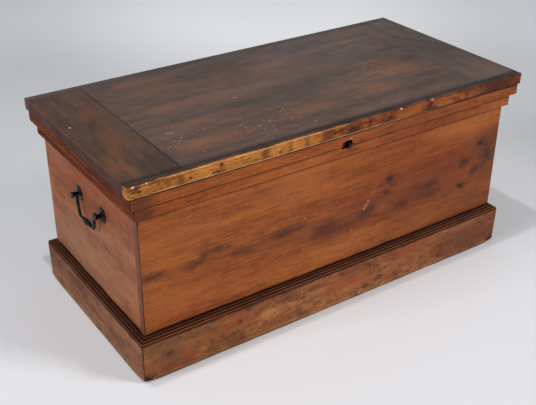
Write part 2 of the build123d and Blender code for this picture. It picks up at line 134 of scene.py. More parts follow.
class Sheet:
    """A material's node sheet, with short calls for the nodes that the finishes share."""

    def __init__(self, name: str) -> None:
        """Starts an empty node material with one shader and its output.

        Args:
            name: The material's name.
        """
        self.material = bpy.data.materials.new(name)
        self.material.use_nodes = True
        self.tree = self.material.node_tree
        self.tree.nodes.clear()
        self.shader = self.tree.nodes.new("ShaderNodeBsdfPrincipled")
        output = self.tree.nodes.new("ShaderNodeOutputMaterial")
        self.tree.links.new(self.shader.outputs["BSDF"], output.inputs["Surface"])
        self.place = self.tree.nodes.new("ShaderNodeTexCoord").outputs["Object"]

    def feed(self, socket: Socket, value: Value) -> None:
        """Links a socket to another, or sets its plain value.

        Args:
            socket: The socket that is fed.
            value: The socket to link from, or a number, a vector or a colour.
        """
        if isinstance(value, bpy.types.NodeSocket):
            self.tree.links.new(value, socket)
        elif socket.type == "RGBA":
            socket.default_value = (*value, 1.0)
        else:
            socket.default_value = value

    def stretch(self, scale: Point, shift: Point = ORIGIN) -> Socket:
        """The object's coordinates, scaled and shifted, so that a pattern draws out along the grain.

        Args:
            scale: The factor on each axis.
            shift: How far the pattern is moved, so that boards differ.

        Returns:
            The vector socket.
        """
        node = self.tree.nodes.new("ShaderNodeMapping")
        self.feed(node.inputs["Vector"], self.place)
        node.inputs["Scale"].default_value = scale
        node.inputs["Location"].default_value = shift
        return node.outputs["Vector"]

    def noise(self, vector: Socket, pattern: Pattern) -> Socket:
        """Fractal noise, 0 to 1.

        Args:
            vector: Where it is read.
            pattern: How fine and how rough it is.

        Returns:
            The value socket.
        """
        node = self.tree.nodes.new("ShaderNodeTexNoise")
        self.feed(node.inputs["Vector"], vector)
        node.inputs["Scale"].default_value = pattern.waves
        node.inputs["Detail"].default_value = pattern.detail
        node.inputs["Roughness"].default_value = pattern.roughness
        node.inputs["Distortion"].default_value = pattern.distortion
        return node.outputs["Fac"]

    def math(self, operation: str, a: Value, b: Value) -> Socket:
        """One arithmetic step between two values.

        Args:
            operation: The step's name, as the node knows it.
            a: The first value.
            b: The second value.

        Returns:
            The value socket.
        """
        node = self.tree.nodes.new("ShaderNodeMath")
        node.operation = operation
        self.feed(node.inputs[0], a)
        self.feed(node.inputs[1], b)
        return node.outputs["Value"]

    def span(
        self, value: Socket, low: float, high: float, to_low: float = 0.0, to_high: float = 1.0
    ) -> Socket:
        """Maps a value smoothly from one span to another and holds it at the ends.

        Args:
            value: The value that is read.
            low: Where the first end lies.
            high: Where the second end lies.
            to_low: The result at the first end.
            to_high: The result at the second end.

        Returns:
            The value socket.
        """
        node = self.tree.nodes.new("ShaderNodeMapRange")
        node.interpolation_type = "SMOOTHSTEP"
        self.feed(node.inputs["Value"], value)
        node.inputs["From Min"].default_value = low
        node.inputs["From Max"].default_value = high
        node.inputs["To Min"].default_value = to_low
        node.inputs["To Max"].default_value = to_high
        return node.outputs["Result"]

    def mix(self, amount: Value, first: Value, second: Value, blend: str = "MIX") -> Socket:
        """Blends two colours.

        Args:
            amount: How much of the second shows.
            first: The colour underneath.
            second: The colour on top.
            blend: The way they combine, as the node knows it.

        Returns:
            The colour socket.
        """
        node = self.tree.nodes.new("ShaderNodeMix")
        node.data_type = "RGBA"
        node.blend_type = blend
        self.feed(node.inputs[0], amount)
        self.feed(node.inputs[6], first)
        self.feed(node.inputs[7], second)
        return node.outputs[2]

    def axes(self) -> tuple[Socket, Socket, Socket]:
        """Splits the object's coordinates.

        Returns:
            The value sockets of X, Y and Z.
        """
        node = self.tree.nodes.new("ShaderNodeSeparateXYZ")
        self.feed(node.inputs["Vector"], self.place)
        return node.outputs["X"], node.outputs["Y"], node.outputs["Z"]

    def bump(self, height: Socket, depth: float) -> None:
        """Raises the surface by a height map.

        Args:
            height: The height, 0 to 1.
            depth: How many metres a full step of height is.
        """
        node = self.tree.nodes.new("ShaderNodeBump")
        node.inputs["Distance"].default_value = depth
        self.feed(node.inputs["Height"], height)
        self.tree.links.new(node.outputs["Normal"], self.shader.inputs["Normal"])

    def near(self, centre: Point, reach: Point, square: bool = False) -> Socket:
        """How far a point of the surface is from a place, in parts of a reach on each axis.

        Args:
            centre: The place, in metres.
            reach: The reach on each axis. An endless reach leaves that axis out.
            square: Whether equal distances make a box and not an ellipsoid.

        Returns:
            The distance socket: 0 at the place and 1 at the reach.
        """
        offset = self.tree.nodes.new("ShaderNodeVectorMath")
        offset.operation = "SUBTRACT"
        self.feed(offset.inputs[0], self.place)
        offset.inputs[1].default_value = centre
        parts = self.tree.nodes.new("ShaderNodeVectorMath")
        parts.operation = "MULTIPLY"
        self.feed(parts.inputs[0], offset.outputs[0])
        parts.inputs[1].default_value = tuple(0.0 if math.isinf(r) else 1.0 / r for r in reach)
        if square:
            sizes = self.tree.nodes.new("ShaderNodeVectorMath")
            sizes.operation = "ABSOLUTE"
            self.feed(sizes.inputs[0], parts.outputs[0])
            split = self.tree.nodes.new("ShaderNodeSeparateXYZ")
            self.feed(split.inputs["Vector"], sizes.outputs[0])
            widest = self.math("MAXIMUM", split.outputs["X"], split.outputs["Y"])
            return self.math("MAXIMUM", widest, split.outputs["Z"])
        length = self.tree.nodes.new("ShaderNodeVectorMath")
        length.operation = "LENGTH"
        self.feed(length.inputs[0], parts.outputs[0])
        return length.outputs["Value"]


@dataclass(frozen=True)
class Mark:
    """A place on a board where the colour differs: a knot, a stain, a rubbed arris, a joint line, painted
    shade or a painted highlight.

    Attributes:
        centre: Its middle, in metres. Axes with an endless reach are ignored.
        reach: Its half size on each axis. ALL makes it run the whole way.
        tint: The colour it takes.
        strength: How much of the tint shows.
        ragged: How far its edge wanders, in parts of its reach.
        waves: How fine that wandering is, in waves per metre.
        soft: Where the fade begins, in parts of its reach.
        specks: How much of it is broken into specks, from none at 0 to all at 1.
        drawn: How far its edge is drawn out along the grain, from a lot near 0 to not at all at 1.
        swirl: How many growth rings bend round it, as they do round a knot.
        square: Whether it is a box and not an ellipsoid.
        sheer: Whether it darkens what is there, by its tint as a factor, and does not cover it.
    """

    centre: Point
    reach: Point
    tint: Colour
    strength: float = 0.7
    ragged: float = 0.8
    waves: float = 60.0
    soft: float = 0.4
    specks: float = 0.0
    drawn: float = 0.35
    swirl: float = 0.0
    square: bool = False
    sheer: bool = False


@dataclass(frozen=True)
class Bare:
    """The inner side of a board, which was never stained.

    Attributes:
        axis: The axis that runs through the board: 0, 1 or 2.
        start: Where the stain ends on that axis.
        side: The way from there to the bare wood, 1 or -1.
        wood: The bare wood's colour.
        ring: The colour of its hard rings.
        fibre: The colour of its fibres.
        fade: How far the stain fades out over the edge, in metres.
    """

    axis: int
    start: float
    side: float = 1.0
    wood: Colour = srgb(186, 146, 100)
    ring: Colour = srgb(148, 102, 62)
    fibre: Colour = srgb(150, 108, 70)
    fade: float = 0.0004


@dataclass(frozen=True)
class StainedPine:
    """Old pine under a wiped stain and wax.

    Attributes:
        name: The finish's name.
        ground: The stain's middle colour.
        pale: The soft wood where the stain is thin.
        dark: The hard grain lines and where the stain lies thick.
        smoke: The dull cloud of handling and dirt.
        grain: The direction of the grain.
        lines: How strongly the grain lines show.
        clouds: How strongly the cloud shows.
        mottle: How strongly the stain is mottled.
        scuffs: How strongly small knocks and rubs show, dark and pale.
        gloss: The roughness of the wax, from 0, mirror, to 1.
        wax: How much the wax reflects.
        relief: How deep the grain is worn, in metres.
        ring_pitch: How many growth rings the board's face cuts in a metre.
        ring_wander: How many rings a line may stray to either side.
        marks: The places that differ.
        bare: The side that was never stained, if there is one.
    """

    name: str
    ground: Colour
    pale: Colour
    dark: Colour
    smoke: Colour
    grain: Grain = Grain.ALONG_X
    lines: float = 0.45
    clouds: float = 0.5
    mottle: float = 0.4
    scuffs: float = 0.12
    gloss: float = 0.45
    wax: float = 0.30
    relief: float = 0.00012
    ring_pitch: float = 95.0
    ring_wander: float = 17.0
    marks: tuple[Mark, ...] = ()
    bare: Bare | None = None

    def dress(self, board: str, shift: Point) -> bpy.types.Material:
        """Builds the finish for one board.

        Args:
            board: The board's name, for the material's name.
            shift: Moves the grain, so that boards differ.

        Returns:
            The material.
        """
        sheet = Sheet(f"{self.name}_{board}")
        rings = self._rings(sheet, shift)
        bands = self._pattern(sheet, BANDS, shift)
        fibres = self._pattern(sheet, FIBRES, shift)
        mottling = self._pattern(sheet, MOTTLING, shift)
        haze = self._pattern(sheet, HAZE, shift)
        colour = sheet.mix(sheet.span(bands, 0.36, 0.66), self.ground, self.pale)
        colour = sheet.mix(sheet.math("MULTIPLY", rings, self.lines), colour, self.dark)
        for pattern, amount in (
            (self._pattern(sheet, THREADS, shift), self.lines),
            (fibres, self.lines),
            (mottling, self.mottle),
            (self._pattern(sheet, KNOCKS, shift), self.scuffs),
        ):
            colour = self._both_ways(sheet, colour, pattern, amount)
        colour = sheet.mix(sheet.span(haze, 0.42, 0.72, 0.0, self.clouds), colour, self.smoke)
        colour = self._all_marked(sheet, colour, shift)
        if self.bare is not None:
            colour = self._bared(sheet, colour, rings, fibres)
        sheet.feed(sheet.shader.inputs["Base Color"], colour)
        dull = sheet.span(haze, 0.35, 0.7, self.gloss - 0.06, self.gloss + 0.14)
        dull = sheet.math("ADD", dull, sheet.span(mottling, 0.35, 0.7, 0.0, 0.12))
        sheet.feed(sheet.shader.inputs["Roughness"], dull)
        sheet.shader.inputs["Specular IOR Level"].default_value = self.wax
        height = sheet.math("MULTIPLY", fibres, 0.5)
        height = sheet.math("SUBTRACT", height, sheet.math("MULTIPLY", rings, 0.35))
        height = sheet.math("ADD", height, sheet.math("MULTIPLY", bands, 0.8))
        sheet.bump(height, self.relief)
        return sheet.material

    def _pattern(self, sheet: Sheet, pattern: Pattern, shift: Point) -> Socket:
        """One pattern, drawn out along this board's grain.

        Args:
            sheet: The board's node sheet.
            pattern: The pattern.
            shift: Moves the grain, so that boards differ.

        Returns:
            The value socket, 0 to 1.
        """
        scale = tuple(pattern.drawn if axis == self.grain.value else 1.0 for axis in range(3))
        return sheet.noise(sheet.stretch(scale, shift), pattern)

    def _rings(self, sheet: Sheet, shift: Point) -> Socket:
        """The hard lines of the growth rings, where the board's face cuts them.

        Args:
            sheet: The board's node sheet.
            shift: Moves the grain, so that boards differ.

        Returns:
            The value socket, 1 on a line and 0 beside it.
        """
        x, y, z = sheet.axes()
        level = sheet.math("ADD", y if self.grain is Grain.ALONG_X else x, z)
        pitch = self.ring_pitch + 20.0 * shift[0]
        stray = sheet.math("MULTIPLY", self._pattern(sheet, RING_WANDER, shift), self.ring_wander)
        phase = sheet.math("ADD", sheet.math("MULTIPLY", level, pitch), sum(shift))
        phase = sheet.math("ADD", phase, stray)
        for mark in self.marks:
            if mark.swirl > 0.0:
                lift = sheet.span(sheet.near(mark.centre, mark.reach), 0.0, 1.0, mark.swirl, 0.0)
                phase = sheet.math("ADD", phase, lift)
        saw = sheet.math("FRACT", phase, 0.0)
        rise = sheet.span(saw, 0.45, 0.92)
        fall = sheet.span(saw, 0.93, 1.0, 1.0, 0.0)
        breaks = sheet.span(self._pattern(sheet, RING_BREAKS, shift), 0.3, 0.62)
        return sheet.math("MULTIPLY", sheet.math("MULTIPLY", rise, fall), breaks)

    def _both_ways(self, sheet: Sheet, colour: Socket, pattern: Socket, amount: float) -> Socket:
        """Darkens the colour where a pattern is high and pales it where the pattern is low.

        Args:
            sheet: The board's node sheet.
            colour: The colour so far.
            pattern: The pattern, 0 to 1.
            amount: How strongly it shows.

        Returns:
            The colour socket.
        """
        colour = sheet.mix(sheet.span(pattern, 0.51, 0.65, 0.0, amount), colour, self.dark)
        return sheet.mix(sheet.span(pattern, 0.49, 0.36, 0.0, amount), colour, self.pale)

    def _bared(self, sheet: Sheet, colour: Socket, rings: Socket, fibres: Socket) -> Socket:
        """Leaves the stain off the board's inner side.

        Args:
            sheet: The board's node sheet.
            colour: The colour so far.
            rings: The growth rings' lines.
            fibres: The pattern of the fibres.

        Returns:
            The colour socket.
        """
        bare = self.bare
        raw = sheet.mix(sheet.math("MULTIPLY", rings, 0.5), bare.wood, bare.ring)
        raw = sheet.mix(sheet.span(fibres, 0.50, 0.72, 0.0, 0.4), raw, bare.fibre)
        inside = sheet.span(sheet.axes()[bare.axis], bare.start, bare.start + bare.fade * bare.side)
        return sheet.mix(inside, colour, raw)

    def _all_marked(self, sheet: Sheet, colour: Socket, shift: Point) -> Socket:
        """Lays all marks over the colour so far, one after another.

        Args:
            sheet: The board's node sheet.
            colour: The colour so far.
            shift: Moves the grain, so that boards differ.

        Returns:
            The colour socket.
        """
        grit = sheet.span(self._pattern(sheet, GRIT, shift), 0.60, 0.70)
        edges: dict[Pattern, Socket] = {}
        for mark in self.marks:
            kind = Pattern(mark.drawn, mark.waves)
            if kind not in edges:
                edges[kind] = self._pattern(sheet, kind, shift)
            colour = self._marked(sheet, colour, mark, edges[kind], grit)
        return colour

    @staticmethod
    def _marked(sheet: Sheet, colour: Socket, mark: Mark, edge: Socket, grit: Socket) -> Socket:
        """Lays one mark over the colour so far.

        Args:
            sheet: The board's node sheet.
            colour: The colour so far.
            mark: The mark.
            edge: The pattern that its edge wanders by.
            grit: The pattern of the specks that it may be broken into.

        Returns:
            The colour socket.
        """
        distance = sheet.near(mark.centre, mark.reach, mark.square)
        shift = sheet.math("MULTIPLY", sheet.math("SUBTRACT", edge, 0.5), 2.0 * mark.ragged)
        mask = sheet.span(sheet.math("ADD", distance, shift), mark.soft, 1.0, mark.strength, 0.0)
        if mark.specks > 0.0:
            kept = sheet.math("ADD", sheet.math("MULTIPLY", grit, mark.specks), 1.0 - mark.specks)
            mask = sheet.math("MULTIPLY", mask, kept)
        return sheet.mix(mask, colour, mark.tint, "MULTIPLY" if mark.sheer else "MIX")


@dataclass(frozen=True)
class OldIron:
    """Blackened iron, dull, with brown in the hollows.

    Attributes:
        name: The finish's name.
        skin: The black of the worn scale.
        rust: The brown under it.
        rubbed: The grey where hands have polished it.
        roughness: The middle roughness.
        hammered: How deep the forge marks are, in metres.
    """

    name: str
    skin: Colour
    rust: Colour
    rubbed: Colour
    roughness: float = 0.42
    hammered: float = 0.0005

    def dress(self) -> bpy.types.Material:
        """Builds the finish.

        Returns:
            The material.
        """
        sheet = Sheet(self.name)
        whole = sheet.stretch(EVEN)
        patch = sheet.noise(whole, Pattern(1.0, 55.0, 5.0, 0.6))
        pits = sheet.noise(whole, Pattern(1.0, 420.0, 4.0, 0.65))
        blows = sheet.noise(whole, Pattern(1.0, 95.0, 2.0, 0.4))
        colour = sheet.mix(sheet.span(patch, 0.48, 0.70, 0.0, 0.75), self.skin, self.rust)
        colour = sheet.mix(sheet.span(pits, 0.55, 0.72, 0.0, 0.5), colour, self.rust)
        colour = sheet.mix(sheet.span(blows, 0.55, 0.75, 0.0, 0.6), colour, self.rubbed)
        sheet.feed(sheet.shader.inputs["Base Color"], colour)
        sheet.shader.inputs["Metallic"].default_value = 0.75
        rough = sheet.span(patch, 0.35, 0.7, self.roughness - 0.08, self.roughness + 0.2)
        sheet.feed(sheet.shader.inputs["Roughness"], rough)
        height = sheet.math("ADD", sheet.math("MULTIPLY", blows, 0.8), sheet.math("MULTIPLY", pits, 0.2))
        sheet.bump(height, self.hammered)
        return sheet.material


def seed(name: str) -> Point:
    """A shift for a board's grain, worked out from its name, so that no two boards are alike."""
    total = sum(place * ord(letter) for place, letter in enumerate(name, 1))
    return (total % 17 * 0.61, total % 23 * 0.47, total % 29 * 0.37)


def grain_of(name: str) -> Grain:
    """The grain lies level, along a board's longer side."""
    low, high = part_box(name)
    return Grain.ALONG_X if high.x - low.x > high.y - low.y else Grain.ALONG_Y


def clothe(name: str, material: bpy.types.Material) -> None:
    """Gives a node, and the worn board that stands for it, one finish.

    Args:
        name: The node's name.
        material: The finish.
    """
    for node in (bpy.data.objects[name], bpy.data.objects.get(f"{name}_worn")):
        if node is not None:
            for slot in node.material_slots:
                slot.material = material


def timber(name: str, finish: StainedPine, *marks: Mark, bare: Bare | None = None) -> None:
    """Dresses one board in a finish with its own grain and its own marks.

    Args:
        name: The node's name.
        finish: The finish.
        marks: The places that differ.
        bare: The side that was never stained, if there is one.
    """
    own = replace(finish, grain=grain_of(name), marks=marks, bare=bare)
    clothe(name, own.dress(name, seed(name)))
    LOG.info("%s: %s with %d marks", name, finish.name, len(marks))


def rounded(first: float, second: float, radius: float) -> tuple[float, float]:
    """Brings a point near a square edge onto a round of that radius.

    Args:
        first: How far the point is inside the edge's first face.
        second: How far it is inside the second face.
        radius: The round's radius.

    Returns:
        The same two distances after the round.
    """
    if first >= radius or second >= radius:
        return first, second
    reach = math.hypot(radius - first, radius - second)
    if reach <= radius:
        return first, second
    share = radius / reach
    return radius - (radius - first) * share, radius - (radius - second) * share


def wander(place: float, track: float, waves: float) -> float:
    """A smooth value from 0 to 1 along an edge, at so many waves per metre. Each track differs."""
    return 0.5 + 0.5 * noise.noise(Vector((place * waves, track * 7.3, 0.4)))


@dataclass(frozen=True)
class WornBoard:
    """A board again, cut finely near its edges so that they can be worn out of true.

    Attributes:
        node: The name of the CAD node that it stands for.
        slot: The finish's slot in the record. Not used.
        along: The axis that the board runs along, 0 or 1.
        pitch: How far apart the cuts along it are.
        shells: How deep under each outer face the cuts beside the edges lie.
        WELD: How close two points are one.
        FLAT: How far two faces may turn, in radians, and still be one.
    """

    node: str
    slot: str
    along: int
    pitch: float = 0.007
    shells: tuple[float, ...] = (0.0007, 0.0016, 0.0028, 0.0045, 0.0070, 0.0100)

    WELD: ClassVar[float] = 0.00001
    FLAT: ClassVar[float] = 0.01

    def build(self, worn: Callable[[Vector], Vector], faces: tuple[Face, ...]) -> None:
        """Makes the board's mesh and hangs it on the node's own body.

        Args:
            worn: Where a point of the new board has gone to.
            faces: The outer faces beside the worn edges.
        """
        source = bpy.data.objects[self.node]
        mesh = bmesh.new()
        mesh.from_mesh(source.data)
        bmesh.ops.remove_doubles(mesh, verts=mesh.verts[:], dist=self.WELD)
        bmesh.ops.dissolve_limit(mesh, angle_limit=self.FLAT, verts=mesh.verts[:], edges=mesh.edges[:])
        low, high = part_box(self.node)
        count = int((high[self.along] - low[self.along]) / self.pitch)
        for step in range(1, count):
            self._cut(mesh, self.along, low[self.along] + step * self.pitch)
        for axis, place, way in faces:
            for shell in self.shells:
                self._cut(mesh, axis, place + way * shell)
        for vertex in mesh.verts:
            vertex.co = worn(vertex.co.copy())
        bmesh.ops.triangulate(mesh, faces=[face for face in mesh.faces if len(face.verts) > 4])
        data = bpy.data.meshes.new(f"{self.node}_worn")
        mesh.to_mesh(data)
        mesh.free()
        data.materials.append(source.material_slots[0].material)
        board = bpy.data.objects.new(f"{self.node}_worn", data)
        bpy.context.scene.collection.objects.link(board)
        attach(board, source.parent.name.split(":")[1])
        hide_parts(self.node)
        LOG.info("%s: worn board of %d faces", self.node, len(data.polygons))

    def _cut(self, mesh: bmesh.types.BMesh, axis: int, place: float) -> None:
        """Cuts the mesh by a plane across one axis.

        Args:
            mesh: The mesh.
            axis: The axis: 0, 1 or 2.
            place: Where the plane stands on it.
        """
        across = Vector(ORIGIN)
        across[axis] = 1.0
        geometry = mesh.verts[:] + mesh.edges[:] + mesh.faces[:]
        bmesh.ops.bisect_plane(mesh, geom=geometry, dist=self.WELD, plane_co=across * place, plane_no=across)


# Half the keyhole's opening, and how far the painted shade of its inside spreads past it.
KEY_HALF_WIDTH = 0.011
KEY_HALF_HEIGHT = 0.0125
KEY_MARGIN = 0.0007
# How far the stain creeps over a board's edge to its bare side.
STAIN_CREEP = 0.0005
# How far the painted shade under a step reaches below the shade of the step.
STEP_SHADE_MARGIN = 0.0022
# How much of a step's overhang that shade takes up on the front and the back.
STEP_SHADE = 0.70
# Painted shade for a groove line across the left tiers and for the crease along the top of the plinth boards.
GROOVE_SHADE = srgb(38, 22, 17)
BLACK_JOINT = srgb(16, 11, 10)
# Painted shade in the crease where the box's boards meet the plinth's moulding.
CREASE_SHADE = srgb(14, 8, 5)
DARK_ARRIS = srgb(46, 22, 15)


def copies(mark: Mark, centres: Iterable[Point]) -> list[Mark]:
    """The same mark at several places."""
    return [replace(mark, centre=centre) for centre in centres]


def drawn_line(at: Point, width: float) -> tuple[Point, Point]:
    """The middle and the reach of a mark that runs the whole way along an axis.

    Args:
        at: A point on the line. The axis that the line runs along holds ALL.
        width: How far the line spreads on the other axes.

    Returns:
        The middle and the reach.
    """
    centre = tuple(0.0 if math.isinf(place) else place for place in at)
    reach = tuple(ALL if math.isinf(place) else width for place in at)
    return centre, reach


def arris(at: Point, width: float, tint: Colour, strength: float = 0.7, specks: float = 0.0) -> Mark:
    """A line that runs the whole length of a board: rubbed, dirty, painted shade or a painted highlight.

    Args:
        at: A point on the line. The axis that the line runs along holds ALL.
        width: How far it spreads.
        tint: Its colour.
        strength: How much of it shows.
        specks: How much of it is broken into specks.

    Returns:
        The mark.
    """
    centre, reach = drawn_line(at, width)
    return Mark(centre, reach, tint, strength, ragged=0.9, waves=45.0, soft=0.35, specks=specks)


def outer_face(side: str, low: Vector, high: Vector) -> Face:
    """The outer face of a board on one side of the chest.

    Args:
        side: The side of the chest.
        low: The low corner of the board's box.
        high: The high corner of the board's box.

    Returns:
        The axis that the face stands across, its place there and the way outwards.
    """
    places = {
        "front": (1, low.y, -1.0),
        "back": (1, high.y, 1.0),
        "left": (0, low.x, -1.0),
        "right": (0, high.x, 1.0),
    }
    return places[side]


def face_line(side: str, low: Vector, high: Vector, height: float) -> Point:
    """A level line along the outer face of a board on one side of the chest.

    Args:
        side: The side of the chest.
        low: The low corner of the board's box.
        high: The high corner of the board's box.
        height: How high the line is.

    Returns:
        A point on the line, with ALL for the axis that it runs along.
    """
    axis, place, _ = outer_face(side, low, high)
    return (place, ALL, height) if axis == 0 else (ALL, place, height)


def shade_under_step(at: Point, depth: float, strength: float = 0.9) -> Mark:
    """Painted shade: a dark band on the face under a step, with a crisp lower edge.

    Args:
        at: A point on the line where the step meets the face. The axis that it runs along holds ALL.
        depth: How far down it reaches.
        strength: How much of it shows.

    Returns:
        The mark.
    """
    centre, reach = drawn_line(at, depth)
    return Mark(centre, reach, srgb(22, 10, 6), strength, ragged=0.12, waves=30.0, soft=0.80)


def keyhole_shade(face: float, height: float) -> Mark:
    """Painted shade: the inside of the keyhole's opening is painted black, from just behind a face.

    Args:
        face: Where the face is, on Y.
        height: How high the middle of the opening is.

    Returns:
        The mark.
    """
    depth = 0.02
    behind = 0.0006
    reach = (KEY_HALF_WIDTH + KEY_MARGIN, depth, KEY_HALF_HEIGHT + KEY_MARGIN)
    centre = (0.0, face + behind + depth, height)
    return Mark(centre, reach, srgb(14, 9, 7), 1.0, ragged=0.0, waves=60.0, soft=0.975, square=True)


FRONT_PINE = StainedPine(
    "front_pine",
    ground=srgb(150, 77, 30), pale=srgb(184, 102, 42), dark=srgb(84, 34, 14), smoke=srgb(104, 48, 24),
    lines=0.40, clouds=0.35, mottle=0.26, wax=0.20, scuffs=0.14,
)
END_PINE = StainedPine(
    "end_pine",
    ground=srgb(136, 76, 48), pale=srgb(166, 106, 68), dark=srgb(80, 38, 23), smoke=srgb(106, 58, 38),
    lines=0.30, clouds=0.45, mottle=0.30, wax=0.12, scuffs=0.16,
)
LID_PINE = StainedPine(
    "lid_pine",
    ground=srgb(64, 42, 30), pale=srgb(92, 61, 42), dark=srgb(34, 22, 18), smoke=srgb(50, 41, 37),
    lines=0.34, clouds=0.65, gloss=0.42, wax=0.42, mottle=0.18, scuffs=0.18,
)
# A copy for the left end board with less wax and a little grey in its colours: a painted reflection in place
# of the wax's.
LID_END_PINE = replace(
    LID_PINE, name="lid_end_pine",
    ground=srgb(68, 46, 35), pale=srgb(92, 63, 46), dark=srgb(38, 27, 23), smoke=srgb(54, 43, 38),
    wax=0.14,
)
LID_EDGE_PINE = StainedPine(
    "lid_edge_pine",
    ground=srgb(166, 92, 36), pale=srgb(212, 138, 60), dark=srgb(80, 36, 15), smoke=srgb(118, 60, 26),
    lines=0.55, clouds=0.6, mottle=0.9, wax=0.15, scuffs=0.55,
)
MOULDING_PINE = StainedPine(
    "moulding_pine",
    ground=srgb(157, 75, 27), pale=srgb(188, 102, 38), dark=srgb(80, 32, 14), smoke=srgb(102, 46, 24),
    lines=0.40, clouds=0.4, mottle=0.45, wax=0.18, scuffs=0.25,
)
# A darker, duller copy for the tiers on the left and the back: painted shade.
SHADED_MOULDING_PINE = replace(
    MOULDING_PINE, name="shaded_moulding_pine",
    ground=srgb(92, 42, 25), pale=srgb(124, 63, 36), dark=srgb(46, 20, 13), smoke=srgb(66, 33, 23),
    wax=0.05, gloss=0.60, scuffs=0.3,
)
REED_PINE = replace(
    MOULDING_PINE, name="reed_pine",
    ground=srgb(46, 21, 11), pale=srgb(72, 34, 17), dark=srgb(22, 10, 6), smoke=srgb(34, 18, 12),
    wax=0.12, scuffs=0.3,
)
PLINTH_PINE = StainedPine(
    "plinth_pine",
    ground=srgb(132, 70, 38), pale=srgb(180, 112, 62), dark=srgb(58, 30, 19), smoke=srgb(88, 50, 32),
    lines=0.34, clouds=0.5, mottle=0.60, scuffs=0.50, wax=0.20,
)
# A greyer, flatter copy with less wax for the left plinth board: painted sheen for that side.
SHADED_PLINTH_PINE = replace(
    PLINTH_PINE, name="shaded_plinth_pine",
    ground=srgb(124, 74, 49), pale=srgb(160, 106, 72), dark=srgb(62, 35, 25), smoke=srgb(90, 56, 40),
    wax=0.12, scuffs=0.35,
)
RAW_PINE = StainedPine(
    "raw_pine",
    ground=srgb(196, 156, 108), pale=srgb(214, 180, 132), dark=srgb(150, 104, 64), smoke=srgb(140, 104, 74),
    lines=0.5, clouds=0.5, gloss=0.7, wax=0.2,
)
HANDLE_IRON = OldIron(
    "handle_iron", skin=srgb(20, 22, 19), rust=srgb(44, 36, 27), rubbed=srgb(104, 110, 98)
)
LOCK_IRON = OldIron(
    "lock_iron",
    skin=srgb(58, 54, 50),
    rust=srgb(92, 62, 42),
    rubbed=srgb(126, 122, 114),
    hammered=0.0001,
)


